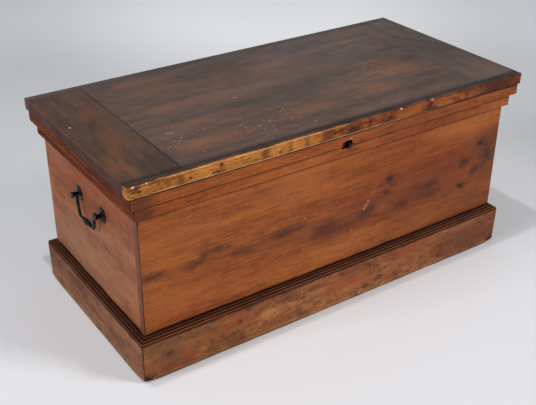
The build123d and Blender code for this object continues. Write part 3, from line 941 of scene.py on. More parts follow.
@dataclass(frozen=True)
class ChestBox:
    """The four boards of the box, and the bearers and planks of its bottom.

    Attributes:
        half_width: From the middle to the face of an end.
        half_depth: From the middle to the face of the front.
        board: How thick the boards are.
        shoulder: Where the plinth's moulding ends.
        key_z: How high the keyhole is.
        CLOUDS: Where the smoky clouds of the front lie, in a chain that sinks to the right.
        WARM: Where the front is rubbed to a warm yellow.
        KNOTS: Where the small knots of the front are.
        CHIPS: Where the front is chipped, and the size of each chip.
    """

    CLOUDS: ClassVar[tuple[tuple[float, float], ...]] = (
        (-0.502, 0.256), (-0.381, 0.252), (-0.343, 0.269), (-0.159, 0.250), (-0.026, 0.227),
        (0.082, 0.222), (0.195, 0.212), (0.287, 0.212), (0.300, 0.245), (-0.270, 0.240),
    )
    WARM: ClassVar[tuple[tuple[float, float], ...]] = (
        (0.344, 0.371), (-0.118, 0.375), (-0.462, 0.336), (-0.458, 0.183),
    )
    KNOTS: ClassVar[tuple[tuple[float, float], ...]] = (
        (0.463, 0.313), (0.413, 0.274), (0.452, 0.237), (0.405, 0.205), (0.153, 0.298), (0.143, 0.269),
    )
    CHIPS: ClassVar[tuple[tuple[float, float, float], ...]] = (
        (0.078, 0.238, 0.006), (0.084, 0.247, 0.007), (0.091, 0.256, 0.006), (-0.099, 0.269, 0.004),
        (0.041, 0.191, 0.004),
    )

    half_width: float
    half_depth: float
    board: float
    shoulder: float
    key_z: float

    @classmethod
    def from_frame(cls) -> "ChestBox":
        """Reads the box's sizes from the frame.

        Returns:
            The box.
        """
        front_low, front_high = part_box("front_board")
        end_low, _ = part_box("left_end_board")
        return cls(
            half_width=-end_low.x,
            half_depth=-front_low.y,
            board=front_high.y - front_low.y,
            shoulder=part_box("plinth_moulding_front")[1].z,
            key_z=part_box("upper_moulding_front")[0].z,
        )

    def build(self) -> None:
        """Dresses the box, board by board."""
        self.front()
        self.ends()
        self.back()
        self.bottom()

    def front(self) -> None:
        """The front board, with its clouds, its knots and its rubbed places, and painted shade under the
        lower tier, along the plinth's moulding and inside the keyhole's opening.
        """
        face = -self.half_depth
        cloud = Mark(ORIGIN, (0.062, ALL, 0.022), srgb(70, 31, 20), 0.72, 1.1, 26.0, 0.0, drawn=0.5)
        warm = Mark(ORIGIN, (0.17, ALL, 0.05), srgb(182, 104, 46), 0.45, 0.9, 12.0, 0.1)
        marks = [
            Mark((0.36, face, 0.25), (0.34, ALL, 0.17), srgb(116, 54, 28), 0.60, 0.5, 7.0, 0.1),
            Mark((-0.02, face, 0.235), (0.46, ALL, 0.040), srgb(104, 50, 28), 0.55, 1.0, 12.0, 0.1),
            Mark((0.50, face, 0.29), (0.09, ALL, 0.13), srgb(92, 54, 34), 0.55, 0.7, 14.0, 0.1),
            Mark((0.38, face, 0.12), (0.42, ALL, 0.07), srgb(86, 38, 18), 0.60, 0.7, 14.0, 0.1),
            *copies(cloud, ((x, face, z) for x, z in self.CLOUDS)),
            *copies(warm, ((x, face, z) for x, z in self.WARM)),
            *self._glazes(face),
            *self._knots(face),
        ]
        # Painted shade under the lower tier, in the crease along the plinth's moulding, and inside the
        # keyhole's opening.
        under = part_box("lower_moulding_front")[0]
        marks.append(shade_under_step((ALL, face, under.z), STEP_SHADE * (face - under.y) + STEP_SHADE_MARGIN, 0.75))
        marks.append(arris((ALL, face, self.shoulder), 0.0055, CREASE_SHADE, 0.95))
        marks.append(keyhole_shade(face - 0.002, self.key_z))
        for x in (-self.half_width, self.half_width):
            marks.append(Mark((x, 0.0, 0.0), (0.0016, ALL, ALL), srgb(104, 57, 38), 0.85, 0.2, 40.0, 0.6))
            marks.append(arris((x, face, ALL), 0.0028, DARK_ARRIS, 0.85))
        timber("front_board", FRONT_PINE, *marks, bare=Bare(1, face + self.board - STAIN_CREEP))

    @staticmethod
    def _glazes(face: float) -> list[Mark]:
        """Where the front's stain is redder or darker, and the grain shows through it.

        Args:
            face: Where the front's face is, on Y.

        Returns:
            The marks.
        """
        return [
            Mark((x, face, z), (length, ALL, width), tint, strength, ragged, waves, soft, sheer=True)
            for x, z, length, width, tint, strength, ragged, waves, soft in (
                (0.22, 0.30, 0.46, 0.12, (0.88, 0.76, 0.72), 0.90, 0.6, 8.0, 0.1),
                (0.06, 0.205, 0.19, 0.036, (0.58, 0.46, 0.46), 0.85, 1.1, 22.0, 0.0),
                (0.25, 0.235, 0.12, 0.032, (0.62, 0.50, 0.50), 0.75, 1.1, 22.0, 0.0),
                (-0.30, 0.16, 0.30, 0.07, (0.90, 0.80, 0.74), 0.80, 0.8, 10.0, 0.1),
            )
        ]

    def _knots(self, face: float) -> list[Mark]:
        """The front's small knots, each a smudge with a dark heart, a dark place by them, and the chips.

        Args:
            face: Where the front's face is, on Y.

        Returns:
            The marks.
        """
        smudge = Mark(
            ORIGIN, (0.036, ALL, 0.020), srgb(78, 35, 20), 0.74, 1.6, 48.0, 0.0, drawn=0.6, swirl=1.6
        )
        heart = Mark(ORIGIN, (0.014, ALL, 0.010), srgb(46, 24, 17), 0.80, 1.9, 90.0, 0.0, drawn=0.8)
        marks = []
        for x, z in self.KNOTS:
            marks += [replace(mark, centre=(x, face, z)) for mark in (smudge, heart)]
        shade = srgb(56, 38, 28)
        marks.append(Mark((0.488, face, 0.272), (0.030, ALL, 0.06), shade, 0.80, 1.2, 40.0, 0.0, drawn=1.0))
        return marks + [
            Mark((x, face, z), (size, ALL, size), srgb(190, 126, 80), 0.7, 0.7, 110.0, 0.3, drawn=1.0)
            for x, z, size in self.CHIPS
        ]

    def ends(self) -> None:
        """The two end boards, with a painted sheen, and painted shade under the lower tier and along the
        plinth's moulding.
        """
        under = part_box("lower_moulding_front")[0]
        for name, side in (("left_end_board", -1.0), ("right_end_board", 1.0)):
            face = side * self.half_width
            marks = (
                # These two make a painted sheen: redder and darker at the top, paler tan low down.
                Mark((face, 0.0, 0.43), (ALL, ALL, 0.17), srgb(144, 76, 48), 0.65, 0.35, 7.0, 0.1),
                Mark((face, 0.10, 0.16), (ALL, 0.30, 0.13), srgb(158, 116, 88), 0.50, 0.6, 7.0, 0.1),
                Mark((face, -0.189, 0.318), (ALL, 0.030, 0.020), srgb(84, 44, 30), 0.4, 1.0, 30.0, 0.1),
                Mark((face, -0.230, 0.25), (ALL, 0.011, 0.30), srgb(158, 96, 62), 0.35, 0.9, 30.0, 0.0),
                # Painted shade under the lower tier and in the crease along the plinth's moulding.
                shade_under_step((face, ALL, under.z), -self.half_depth - under.y + 0.0024, 0.85),
                arris((face, ALL, self.shoulder), 0.0055, CREASE_SHADE, 0.95),
                arris((face, -self.half_depth, ALL), 0.0028, DARK_ARRIS, 0.85),
            )
            inner = face - side * (self.board - STAIN_CREEP)
            timber(name, END_PINE, *marks, bare=Bare(0, inner, -side))

    def back(self) -> None:
        """The back board, plainer than the front."""
        inner = self.half_depth - self.board + STAIN_CREEP
        timber("back_board", END_PINE, bare=Bare(1, inner, -1.0))

    def bottom(self) -> None:
        """The bearers and the planks, which were never stained."""
        names = [f"bottom_bearer_{side}" for side in SIDES]
        names += [name for name in sorted(bpy.data.objects.keys()) if name.startswith("bottom_plank")]
        for name in names:
            timber(name, RAW_PINE)


@dataclass(frozen=True)
class SteppedMouldings:
    """The two stepped tiers under the lid.

    Attributes:
        arris_width: How wide the painted highlight along the foot of a tier is.
        HIDDEN: How much of a step's overhang its shade takes up on each side.
    """

    HIDDEN: ClassVar[dict[str, float]] = {
        "front": STEP_SHADE, "back": STEP_SHADE, "left": 1.0, "right": 1.0,
    }

    arris_width: float = 0.0020

    def build(self) -> None:
        """Dresses both tiers on all four sides."""
        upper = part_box("lid_front_strip")[0].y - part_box("upper_moulding_front")[0].y
        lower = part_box("upper_moulding_front")[0].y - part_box("lower_moulding_front")[0].y
        for side in SIDES:
            self.tier(f"upper_moulding_{side}", side, abs(upper), 1.0)
            self.tier(f"lower_moulding_{side}", side, abs(lower), 0.85)

    def tier(self, name: str, side: str, overhang: float, strength: float) -> None:
        """One length of moulding: painted shade under the step above and a painted highlight along its foot.

        Args:
            name: The node's name.
            side: The side of the chest that it is on.
            overhang: How far the step above stands out over it.
            strength: How black the painted shade under that step is.
        """
        low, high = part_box(name)
        # The pale line along the foot is a painted highlight, brighter on the front and the right.
        shine = 0.50 if side in ("front", "right") else 0.25
        # dirt is the depth of the painted shade under the step above: what the step hides, and a margin.
        dirt = self.HIDDEN[side] * overhang + STEP_SHADE_MARGIN
        foot = face_line(side, low, high, low.z + 0.0012)
        marks = [
            shade_under_step(face_line(side, low, high, high.z), dirt, strength),
            arris(foot, self.arris_width, srgb(196, 116, 58), shine, 0.3),
        ]
        if side == "front":
            marks += self._keyhole(low.y)
            marks += [
                Mark((-0.52, low.y, low.z), (0.05, ALL, 0.04), srgb(86, 44, 26), 0.7, 0.8, 30.0),
                Mark((0.30, low.y, low.z), (0.35, ALL, 0.08), srgb(118, 54, 26), 0.6, 0.6, 9.0, 0.1),
                Mark((-0.20, low.y, low.z), (0.22, ALL, 0.05), srgb(170, 92, 38), 0.45, 0.9, 14.0, 0.1),
            ]
        # A painted shade line across the middle of the left tiers.
        if side == "left":
            middle = (low.z + high.z) / 2 - 0.002
            marks.append(arris((low.x, ALL, middle), 0.0016, GROOVE_SHADE, 0.7))
        if side in ("front", "back"):
            _, face, _ = outer_face(side, low, high)
            marks += [arris((x, face, ALL), 0.0026, srgb(28, 13, 8), 0.9) for x in (low.x, high.x)]
        # The left and back tiers take the darker copy, which is painted shade.
        finish = MOULDING_PINE if side in ("front", "right") else SHADED_MOULDING_PINE
        timber(name, finish, *marks)

    @staticmethod
    def _keyhole(face: float) -> list[Mark]:
        """Painted shade inside the keyhole's opening, on the wood at its lower right and on a lip at its
        left, and a rubbed rim at its right.

        Args:
            face: Where the tier's face is, on Y.

        Returns:
            The marks.
        """
        key_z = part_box("upper_moulding_front")[0].z
        right = KEY_HALF_WIDTH + 0.001
        dark = srgb(22, 14, 10)
        brown = srgb(30, 21, 16)
        rim = Mark((right, face, key_z), (0.0022, 0.0022, 0.012), srgb(190, 120, 66), 0.8, 0.5, 90.0)
        above = Mark((0.007, face, key_z + 0.016), (0.004, 0.003, 0.004), srgb(206, 140, 76), 0.8, 0.6, 90.0)
        # notch and lip are painted shade on the wood round the opening.
        notch = Mark((0.010, face, key_z - 0.006), (0.012, 0.002, 0.012), brown, 0.95, 0.25, 90.0, 0.7)
        lip = Mark((-0.0140, face, key_z + 0.005), (0.0050, 0.003, 0.0085), dark, 0.95, 0.3, 90.0, 0.7)
        return [rim, above, notch, lip, keyhole_shade(face, key_z)]


@dataclass(frozen=True)
class Plinth:
    """The plinth and the reeded moulding on top of it.

    Attributes:
        half_width: From the middle to the plinth's end.
        half_depth: From the middle to the plinth's front.
        reed_radius: The radius of a reed.
        reed_pitch: How far one reed stands behind the next.
        reed_climb: How far one reed stands above the next.
        reed_shine: How bright the painted highlight on the crest of each reed is, from the nose inwards.
        foot_wear: How far the foot is worn between its corners.
        corner_wear: How far the foot's corners are worn.
        corner_reach: How far that wear reaches along the foot.
        corner_climb: How far it climbs up the corner.
        arris_wear: How far the upright corners are worn.
        SHINE: How much of the reeds' painted highlight each side gets, by how it faces the light.
        RED: Where the front's stain is red.
        RUBBED: Where the front is rubbed pale, and how long each place is.
        BRUISES: Where the front is bruised dark, and how long each bruise is.
    """

    SHINE: ClassVar[dict[str, float]] = {"front": 1.0, "right": 0.8, "back": 0.5, "left": 0.38}
    RED: ClassVar[tuple[tuple[float, float], ...]] = (
        (-0.30, 0.07), (-0.46, 0.02), (0.02, 0.06), (0.24, 0.075),
    )
    RUBBED: ClassVar[tuple[tuple[float, float, float], ...]] = (
        (-0.213, 0.052, 0.035), (-0.257, 0.033, 0.025), (-0.392, 0.029, 0.022), (-0.10, 0.03, 0.05),
        (0.10, 0.010, 0.10), (0.28, 0.012, 0.12),
    )
    BRUISES: ClassVar[tuple[tuple[float, float, float], ...]] = (
        (-0.475, 0.057, 0.022), (-0.337, 0.044, 0.012), (-0.29, 0.066, 0.010), (-0.266, 0.092, 0.014),
        (-0.529, 0.009, 0.016), (0.535, 0.002, 0.020), (0.055, 0.004, 0.008), (0.45, 0.010, 0.05),
    )

    half_width: float
    half_depth: float
    reed_radius: float = 0.0027
    reed_pitch: float = 0.006
    reed_climb: float = 0.0033
    reed_shine: tuple[float, ...] = (0.75, 0.55, 0.20)
    foot_wear: float = 0.0034
    corner_wear: float = 0.0150
    corner_reach: float = 0.016
    corner_climb: float = 0.018
    arris_wear: float = 0.0022

    @classmethod
    def from_frame(cls) -> "Plinth":
        """Reads the plinth's sizes from the frame.

        Returns:
            The plinth.
        """
        low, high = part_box("plinth_front")
        return cls(half_width=high.x, half_depth=-low.y)

    def build(self) -> None:
        """Builds and dresses the four plinth boards, and dresses the four lengths of moulding."""
        ends = ((0, -self.half_width, 1.0), (0, self.half_width, -1.0))
        fronts = ((1, -self.half_depth, 1.0), (1, self.half_depth, -1.0))
        foot = (2, 0.0, 1.0)
        outer = {
            "front": (fronts[0], *ends),
            "back": (fronts[1], *ends),
            "left": (ends[0], *fronts),
            "right": (ends[1], *fronts),
        }
        for side in SIDES:
            along = 0 if side in ("front", "back") else 1
            WornBoard(f"plinth_{side}", "pine_plinth", along).build(self._worn, (*outer[side], foot))
            self.board(side)
            self.reeds(side)

    def _worn(self, point: Vector) -> Vector:
        """Where a point of the plinth has gone to: feet and corners are worn, most of all together.

        Args:
            point: The point on the new board.

        Returns:
            The worn place.
        """
        end = self.half_width - abs(point.x)
        face = self.half_depth - abs(point.y)
        height = point.z
        near_corner = math.exp(-(max(end, 0.0) + max(face, 0.0)) / self.corner_reach)
        hollows = wander(point.x + point.y, 1.0, 22.0) ** 2
        dents = wander(point.x - point.y, 2.0, 70.0) ** 3
        foot = self.foot_wear * (0.25 + hollows + 0.5 * dents) + self.corner_wear * near_corner
        upright = self.arris_wear * (0.5 + wander(height, 3.0, 40.0))
        upright += self.corner_wear * 0.4 * math.exp(-height / self.corner_climb)
        end, face = rounded(end, face, upright)
        face, height = rounded(face, height, foot)
        end, height = rounded(end, height, foot)
        x = math.copysign(self.half_width - end, point.x)
        y = math.copysign(self.half_depth - face, point.y)
        return Vector((x, y, height))

    def board(self, side: str) -> None:
        """One plinth board, scuffed along its foot, with painted shade along its top under the moulding.

        Args:
            side: The side of the chest that it is on.
        """
        name = f"plinth_{side}"
        low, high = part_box(name)
        marks = self._front_patches(low.y) if side == "front" else []
        marks += [
            # Painted shade along the top, under the moulding.
            arris(face_line(side, low, high, high.z), 0.004, GROOVE_SHADE, 0.8),
            arris(face_line(side, low, high, low.z + 0.006), 0.007, srgb(182, 146, 92), 0.75, 0.8),
            arris(face_line(side, low, high, low.z), 0.0045, srgb(44, 30, 23), 0.85),
        ]
        if side in ("front", "back"):
            _, face, _ = outer_face(side, low, high)
            corners = (low.x, high.x)
            smudge = Mark(ORIGIN, (0.040, ALL, 0.022), srgb(26, 18, 14), 0.9, 1.2, 80.0, 0.0, drawn=0.8)
            marks += [arris((x, face, ALL), 0.0048, srgb(24, 13, 9), 0.95) for x in corners]
            marks += copies(smudge, ((x, face, 0.006) for x in corners))
        timber(name, PLINTH_PINE if side != "left" else SHADED_PLINTH_PINE, *marks)

    def _front_patches(self, face: float) -> list[Mark]:
        """The patches of the front plinth board: red, rubbed pale, bruised dark and brown with damp.

        Args:
            face: Where the board's face is, on Y.

        Returns:
            The marks.
        """
        bruise = srgb(58, 36, 27)
        olive = srgb(94, 68, 49)
        red = Mark(ORIGIN, (0.10, ALL, 0.050), srgb(148, 70, 34), 0.72, 1.2, 30.0, 0.0, drawn=0.8)
        scratch = Mark(ORIGIN, (0.0016, ALL, 0.010), bruise, 0.6, 0.3, 60.0)
        marks = copies(red, ((x, face, z) for x, z in self.RED))
        marks.append(Mark((-0.485, face, 0.06), (0.085, ALL, 0.07), olive, 0.55, 1.3, 40.0, 0.0, drawn=0.8))
        marks += [
            Mark((x, face, z), (reach, ALL, 0.020), srgb(192, 132, 76), 0.68, 1.4, 75.0, 0.0, 0.45, 0.7)
            for x, z, reach in self.RUBBED
        ]
        marks += [
            Mark((x, face, z), (reach, ALL, 0.013), bruise, 0.75, 1.4, 80.0, 0.0, drawn=0.8)
            for x, z, reach in self.BRUISES
        ]
        damp = Mark((0.46, face, 0.04), (0.26, ALL, 0.09), srgb(106, 54, 28), 0.85, 0.9, 24.0, 0.0)
        black = Mark(
            (0.530, face, 0.010), (0.026, ALL, 0.020), srgb(22, 15, 12), 0.85, 1.3, 70.0, 0.0, drawn=0.8
        )
        return [*marks, damp, black, *copies(scratch, ((x, face, 0.072) for x in (0.096, 0.103, 0.110)))]

    def reeds(self, side: str) -> None:
        """One length of reeded moulding: a painted highlight on the crest of each reed, black between them,
        and painted shade under the nose.

        Args:
            side: The side of the chest that it is on.
        """
        name = f"plinth_moulding_{side}"
        low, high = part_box(name)
        axis, nose, way = outer_face(side, low, high)
        slant = self.reed_radius * math.sqrt(0.5)
        marks = []
        # Painted highlights on the crests, stronger on the sides that face the light.
        for reed, shine in enumerate(self.reed_shine):
            centre = nose - way * (self.reed_radius + reed * self.reed_pitch)
            height = low.z + self.reed_radius + reed * self.reed_climb
            crest = [ALL, ALL, height + slant]
            crest[axis] = centre + way * slant
            marks.append(arris(tuple(crest), 0.0015, srgb(176, 96, 44), shine * self.SHINE[side], 0.3))
        # Painted shade under the nose, where it meets the plinth board.
        quirk = [ALL, ALL, low.z]
        quirk[axis] = nose - way * self.reed_radius
        marks.append(arris(tuple(quirk), 0.0022, srgb(14, 8, 6), 0.95))
        timber(name, REED_PINE, *marks)


@dataclass(frozen=True)
class Lid:
    """The lid: two panel boards, two end boards and a strip along the front and the back.

    Attributes:
        top: How high its upper face is.
        bottom: How high its lower face is.
        half_width: From the middle to its end.
        half_depth: From the middle to its front.
        joint: From the middle to the joint between panel and end boards.
        strip_joint: From the middle to the joint between panel and front strip.
        CHIPS: The chips out of the strip's upper arris: the place, half the length and the depth.
        BROWN: Where the strip's face is still brown, as middles and half lengths.
        DARKER: Where it is darker again, as middles and half lengths.
        WARM_BACK: The warm patches of the back panel board, and their lengths.
        WARM_FRONT: The warm patches of the front panel board, and their lengths.
        SPECKS: The pale specks of the front panel board, and their sizes.
    """

    CHIPS: ClassVar[tuple[tuple[float, float, float], ...]] = (
        (0.244, 0.007, 0.0050), (0.149, 0.006, 0.0030), (0.349, 0.005, 0.0018), (-0.542, 0.009, 0.0040),
        (-0.300, 0.006, 0.0018), (-0.085, 0.005, 0.0016), (0.430, 0.007, 0.0018),
    )
    BROWN: ClassVar[tuple[tuple[float, float], ...]] = (
        (-0.435, 0.014), (-0.337, 0.010), (-0.225, 0.014), (-0.165, 0.010), (-0.121, 0.012),
        (-0.063, 0.024), (0.012, 0.030), (0.100, 0.026), (0.240, 0.026), (0.455, 0.095),
    )
    DARKER: ClassVar[tuple[tuple[float, float], ...]] = (
        (0.238, 0.030), (0.120, 0.020), (0.362, 0.024), (-0.005, 0.020), (0.055, 0.010),
    )
    WARM_BACK: ClassVar[tuple[tuple[float, float, float], ...]] = (
        (-0.26, 0.15, 0.10), (-0.19, 0.106, 0.12), (-0.30, 0.031, 0.08), (-0.138, 0.033, 0.10),
        (-0.278, 0.203, 0.08), (0.012, 0.109, 0.10), (0.154, 0.045, 0.09), (0.332, 0.162, 0.07),
    )
    WARM_FRONT: ClassVar[tuple[tuple[float, float, float], ...]] = (
        (-0.254, -0.081, 0.11), (-0.289, -0.174, 0.10), (-0.351, -0.173, 0.06), (0.285, 0.018, 0.08),
        (0.330, -0.085, 0.09), (0.147, -0.103, 0.10), (0.200, -0.142, 0.08), (-0.05, -0.16, 0.12),
        (-0.138, 0.000, 0.05),
    )
    SPECKS: ClassVar[tuple[tuple[float, float, float], ...]] = (
        (-0.139, -0.001, 0.008), (-0.095, -0.128, 0.005), (-0.154, -0.146, 0.006), (-0.142, -0.155, 0.006),
        (-0.176, -0.165, 0.007), (-0.216, -0.183, 0.006), (-0.286, -0.113, 0.006), (-0.372, -0.129, 0.007),
        (-0.350, -0.124, 0.006), (-0.360, -0.137, 0.006), (-0.343, -0.208, 0.006), (-0.357, -0.093, 0.008),
        (-0.062, -0.156, 0.004), (-0.057, -0.211, 0.006), (0.135, -0.215, 0.004), (-0.163, -0.206, 0.004),
    )

    top: float
    bottom: float
    half_width: float
    half_depth: float
    joint: float
    strip_joint: float

    @classmethod
    def from_frame(cls) -> "Lid":
        """Reads the lid's sizes from the frame.

        Returns:
            The lid.
        """
        low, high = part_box("lid_end_right")
        strip_low, strip_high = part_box("lid_front_strip")
        return cls(high.z, low.z, high.x, -strip_low.y, low.x, -strip_high.y)

    def build(self) -> None:
        """Dresses the six boards of the lid."""
        glaze = (0.62, 0.62, 0.68)
        joints = [
            arris((-self.joint, ALL, self.top), 0.0026, BLACK_JOINT, 1.0),
            arris((self.joint, ALL, self.top), 0.0022, BLACK_JOINT, 0.6),
            arris((ALL, -self.strip_joint, self.top), 0.013, srgb(30, 22, 20), 0.70),
            arris((ALL, -self.strip_joint, self.top), 0.0018, BLACK_JOINT, 0.9),
            arris((ALL, self.strip_joint, self.top), 0.0028, BLACK_JOINT, 0.85),
            Mark((self.joint, -0.02, self.top), (0.15, 0.28, ALL), glaze, 0.85, 0.8, 9.0, 0.1, sheer=True),
        ]
        for name, finish, marks in (
            ("lid_panel_front", LID_PINE, self._wear()),
            ("lid_panel_back", LID_PINE, self._warmth()),
            ("lid_end_left", LID_END_PINE, self._end_edge(-1.0) + self._left_patches()),
            ("lid_end_right", LID_PINE, self._end_edge(1.0)),
        ):
            timber(name, finish, *marks, *joints, bare=Bare(2, self.bottom + STAIN_CREEP, -1.0))
        self.front_strip()
        self.back_strip()

    def _patches(
        self, places: Iterable[tuple[float, float, float]], width: float, tint: Colour, strength: float
    ) -> list[Mark]:
        """Patches on the top of the lid, drawn out along the grain.

        Args:
            places: The middle of each, and its half length.
            width: Their half width.
            tint: Their colour.
            strength: How much of it shows.

        Returns:
            The marks.
        """
        return [
            Mark((x, y, self.top), (half * 1.3, width * 1.4, ALL), tint, strength, 1.4, 30.0, 0.0, drawn=0.25)
            for x, y, half in places
        ]

    def _warmth(self) -> list[Mark]:
        """Where the brown shows through the back's dark skin, and where the skin is darkest.

        Returns:
            The marks.
        """
        marks = self._patches(self.WARM_BACK, 0.024, srgb(116, 70, 40), 0.36)
        darkest = ((0.24, 0.20, 0.20), (-0.05, 0.22, 0.20), (0.22, 0.05, 0.20))
        return marks + self._patches(darkest, 0.035, srgb(52, 42, 38), 0.6)

    def _wear(self) -> list[Mark]:
        """The rubbed front half: warm patches, and pale specks where the skin has chipped.

        Returns:
            The marks.
        """
        warm = srgb(124, 76, 42)
        pale = srgb(178, 132, 94)
        darkest = ((0.05, -0.02, 0.16), (-0.02, -0.07, 0.16), (0.38, -0.20, 0.16))
        marks = self._patches(self.WARM_FRONT, 0.026, warm, 0.42)
        marks += self._patches(darkest, 0.030, srgb(50, 41, 38), 0.6)
        marks += [
            Mark((x, y, self.top), (length, width, ALL), pale, strength, 1.2, 30.0, 0.0, 1.0, drawn)
            for x, y, length, width, strength, drawn in (
                (-0.36, -0.12, 0.10, 0.09, 0.80, 0.6),
                (-0.14, -0.16, 0.14, 0.07, 0.80, 0.6),
                (0.28, -0.035, 0.15, 0.10, 0.85, 0.5),
            )
        ]
        marks.append(Mark((0.30, -0.055, self.top), (0.12, 0.08, ALL), warm, 0.45, 1.3, 40.0, 0.0, drawn=0.2))
        marks += [
            Mark((x, y, self.top), (size * 0.9, size * 0.36, ALL), pale, 0.8, 0.9, 150.0, 0.2, drawn=0.6)
            for x, y, size in self.SPECKS
        ]
        return marks

    def _end_edge(self, side: float) -> list[Mark]:
        """The outer edge of an end board, with a painted highlight along its top arris and painted shade
        along its foot.

        Args:
            side: Which end of the chest it is, -1 for the left or 1 for the right.

        Returns:
            The marks.
        """
        edge = side * self.half_width
        inset = 0.0006
        return [
            Mark((edge, 0.0, 0.0), (0.0014, ALL, ALL), srgb(64, 28, 15), 0.95, 0.25, 60.0, 0.8),
            # A painted highlight along the top arris.
            arris((edge - side * inset, ALL, self.top - inset), 0.0016, srgb(150, 80, 38), 0.75, 0.45),
            arris((edge, ALL, (self.top + self.bottom) / 2), 0.0022, srgb(46, 24, 17), 0.55),
            # Painted shade in the gap under the lid.
            arris((edge, ALL, self.bottom), 0.0038, srgb(20, 11, 8), 0.95),
        ]

    def _left_patches(self) -> list[Mark]:
        """The patches of the left end board: one dark, the others warm, and two pale knocks.

        Returns:
            The marks.
        """
        warm = srgb(122, 72, 38)
        pale = srgb(196, 160, 122)
        return [
            Mark((-0.450, -0.20, self.top), (0.07, 0.07, ALL), srgb(46, 39, 36), 0.65, 1.0, 26.0, 0.1),
            *(
                Mark((x, y, self.top), (0.032, reach, ALL), warm, strength, 1.4, 30.0, 0.0, drawn=0.25)
                for x, y, reach, strength in (
                    (-0.482, 0.092, 0.07, 0.35), (-0.512, -0.165, 0.09, 0.75), (-0.477, -0.04, 0.08, 0.40)
                )
            ),
            Mark((-0.528, 0.053, self.top), (0.004, 0.006, ALL), pale, 0.85, 0.6, 130.0),
            Mark((-0.535, -0.252, self.top), (0.007, 0.004, ALL), pale, 0.8, 0.8, 130.0),
        ]

    def front_strip(self) -> None:
        """The strip along the front: black on top, and rubbed to the yellow wood on its face."""
        low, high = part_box("lid_front_strip")
        face = low.y
        ends = ((0, low.x, 1.0), (0, high.x, -1.0))
        faces = ((1, face, 1.0), (2, self.top, -1.0), (2, self.bottom, 1.0), *ends)
        WornBoard("lid_front_strip", "pine_lid_edge", 0, 0.005).build(self._worn_strip, faces)
        knock = Mark(ORIGIN, (0.007, ALL, 0.005), srgb(56, 26, 15), 0.85, 0.7, 90.0, 0.2, drawn=0.8)
        knocks = ((-0.536, 0.482), (-0.337, 0.487), (-0.192, 0.476), (-0.41, 0.478), (-0.044, 0.482))
        marks = self._strip_stain(face)
        marks += copies(knock, ((x, face, z) for x, z in knocks))
        marks += self._strip_arrises(face, high.y)
        marks += [
            Mark((x, face, self.top), (size, 0.004, 0.004), srgb(226, 200, 166), 0.9, 0.9, 140.0, 0.3)
            for x, size in ((0.244, 0.006), (0.149, 0.0040), (-0.538, 0.005), (-0.508, 0.003))
        ]
        timber("lid_front_strip", LID_EDGE_PINE, *marks)

    def _strip_stain(self, face: float) -> list[Mark]:
        """Where the stain is left on the strip's face: brown blocks, and a dark right half.

        Args:
            face: Where the face is, on Y.

        Returns:
            The marks.
        """
        brown = srgb(98, 46, 20)
        dull = (0.64, 0.46, 0.47)
        darker = (0.42, 0.34, 0.36)
        foot = self.bottom
        return [
            *(
                Mark((x, face, foot), (half * 1.2, ALL, 0.06), brown, 0.62, 0.9, 60.0, 0.1, drawn=1.0)
                for x, half in self.BROWN
            ),
            Mark((0.42, face, foot), (0.74, ALL, ALL), dull, 1.0, 0.4, 12.0, 0.5, sheer=True),
            Mark((0.50, face, foot), (0.14, ALL, ALL), darker, 0.9, 0.6, 26.0, 0.5, sheer=True),
            *(
                Mark((x, face, foot), (half, ALL, 0.08), darker, 0.8, 1.0, 60.0, 0.1, drawn=1.0, sheer=True)
                for x, half in self.DARKER
            ),
        ]

    def _strip_arrises(self, face: float, back: float) -> list[Mark]:
        """The strip's long edges, rubbed pale at the left and black at the right, and its black top.

        Args:
            face: Where the strip's face is, on Y.
            back: Where its back is, on Y.

        Returns:
            The marks.
        """
        rubbed = srgb(228, 184, 134)
        top = srgb(28, 21, 18)
        foot = srgb(40, 22, 14)
        inner = face + 0.0010
        low = self.bottom + 0.0008
        return [
            Mark((-0.26, inner, self.top - 0.001), (0.46, 0.0014, 0.0014), rubbed, 0.90, 0.4, 45.0, 0.4, 0.5),
            Mark((0.40, inner, self.top), (0.42, 0.0024, 0.0024), srgb(30, 18, 13), 0.80, 0.5, 60.0, 0.5),
            Mark((0.0, back, self.top), (ALL, back - face - 0.0006, 0.0014), top, 0.92, 0.4, 60.0, 0.7),
            arris((ALL, back, self.top), 0.007, srgb(26, 19, 17), 0.75),
            arris((ALL, back, self.top), 0.0016, BLACK_JOINT, 0.9),
            Mark((0.30, face, self.bottom), (0.34, 0.0040, 0.0040), foot, 0.80, 0.3, 45.0, 0.6),
            Mark((-0.16, face, low), (0.52, 0.0019, 0.0019), rubbed, 0.90, 0.4, 45.0, 0.5, 0.35),
        ]

    def _worn_strip(self, point: Vector) -> Vector:
        """Where a point of the front strip has gone to: rubbed arrises, and chips out of the upper one.

        Args:
            point: The point on the new board.

        Returns:
            The worn place.
        """
        low_part = 0.010
        low_wear = 0.0012
        end_wear = 0.0022
        end = self.half_width - abs(point.x)
        face = point.y + self.half_depth
        depth = self.top - point.z
        height = point.z - self.bottom
        radius = 0.0012 + 0.0016 * wander(point.x, 4.0, 26.0) ** 2
        for place, reach, chip in self.CHIPS:
            radius += chip * max(0.0, 1.0 - ((point.x - place) / reach) ** 2)
        corner = 0.0016 + 0.0030 * math.exp(-max(end, 0.0) / 0.012)
        end, face = rounded(end, face, corner)
        face, depth = rounded(face, depth, radius)
        end, depth = rounded(end, depth, end_wear)
        if height < low_part:
            face, height = rounded(face, height, low_wear)
            depth = self.top - self.bottom - height
        x = math.copysign(self.half_width - end, point.x)
        return Vector((x, face - self.half_depth, self.top - depth))

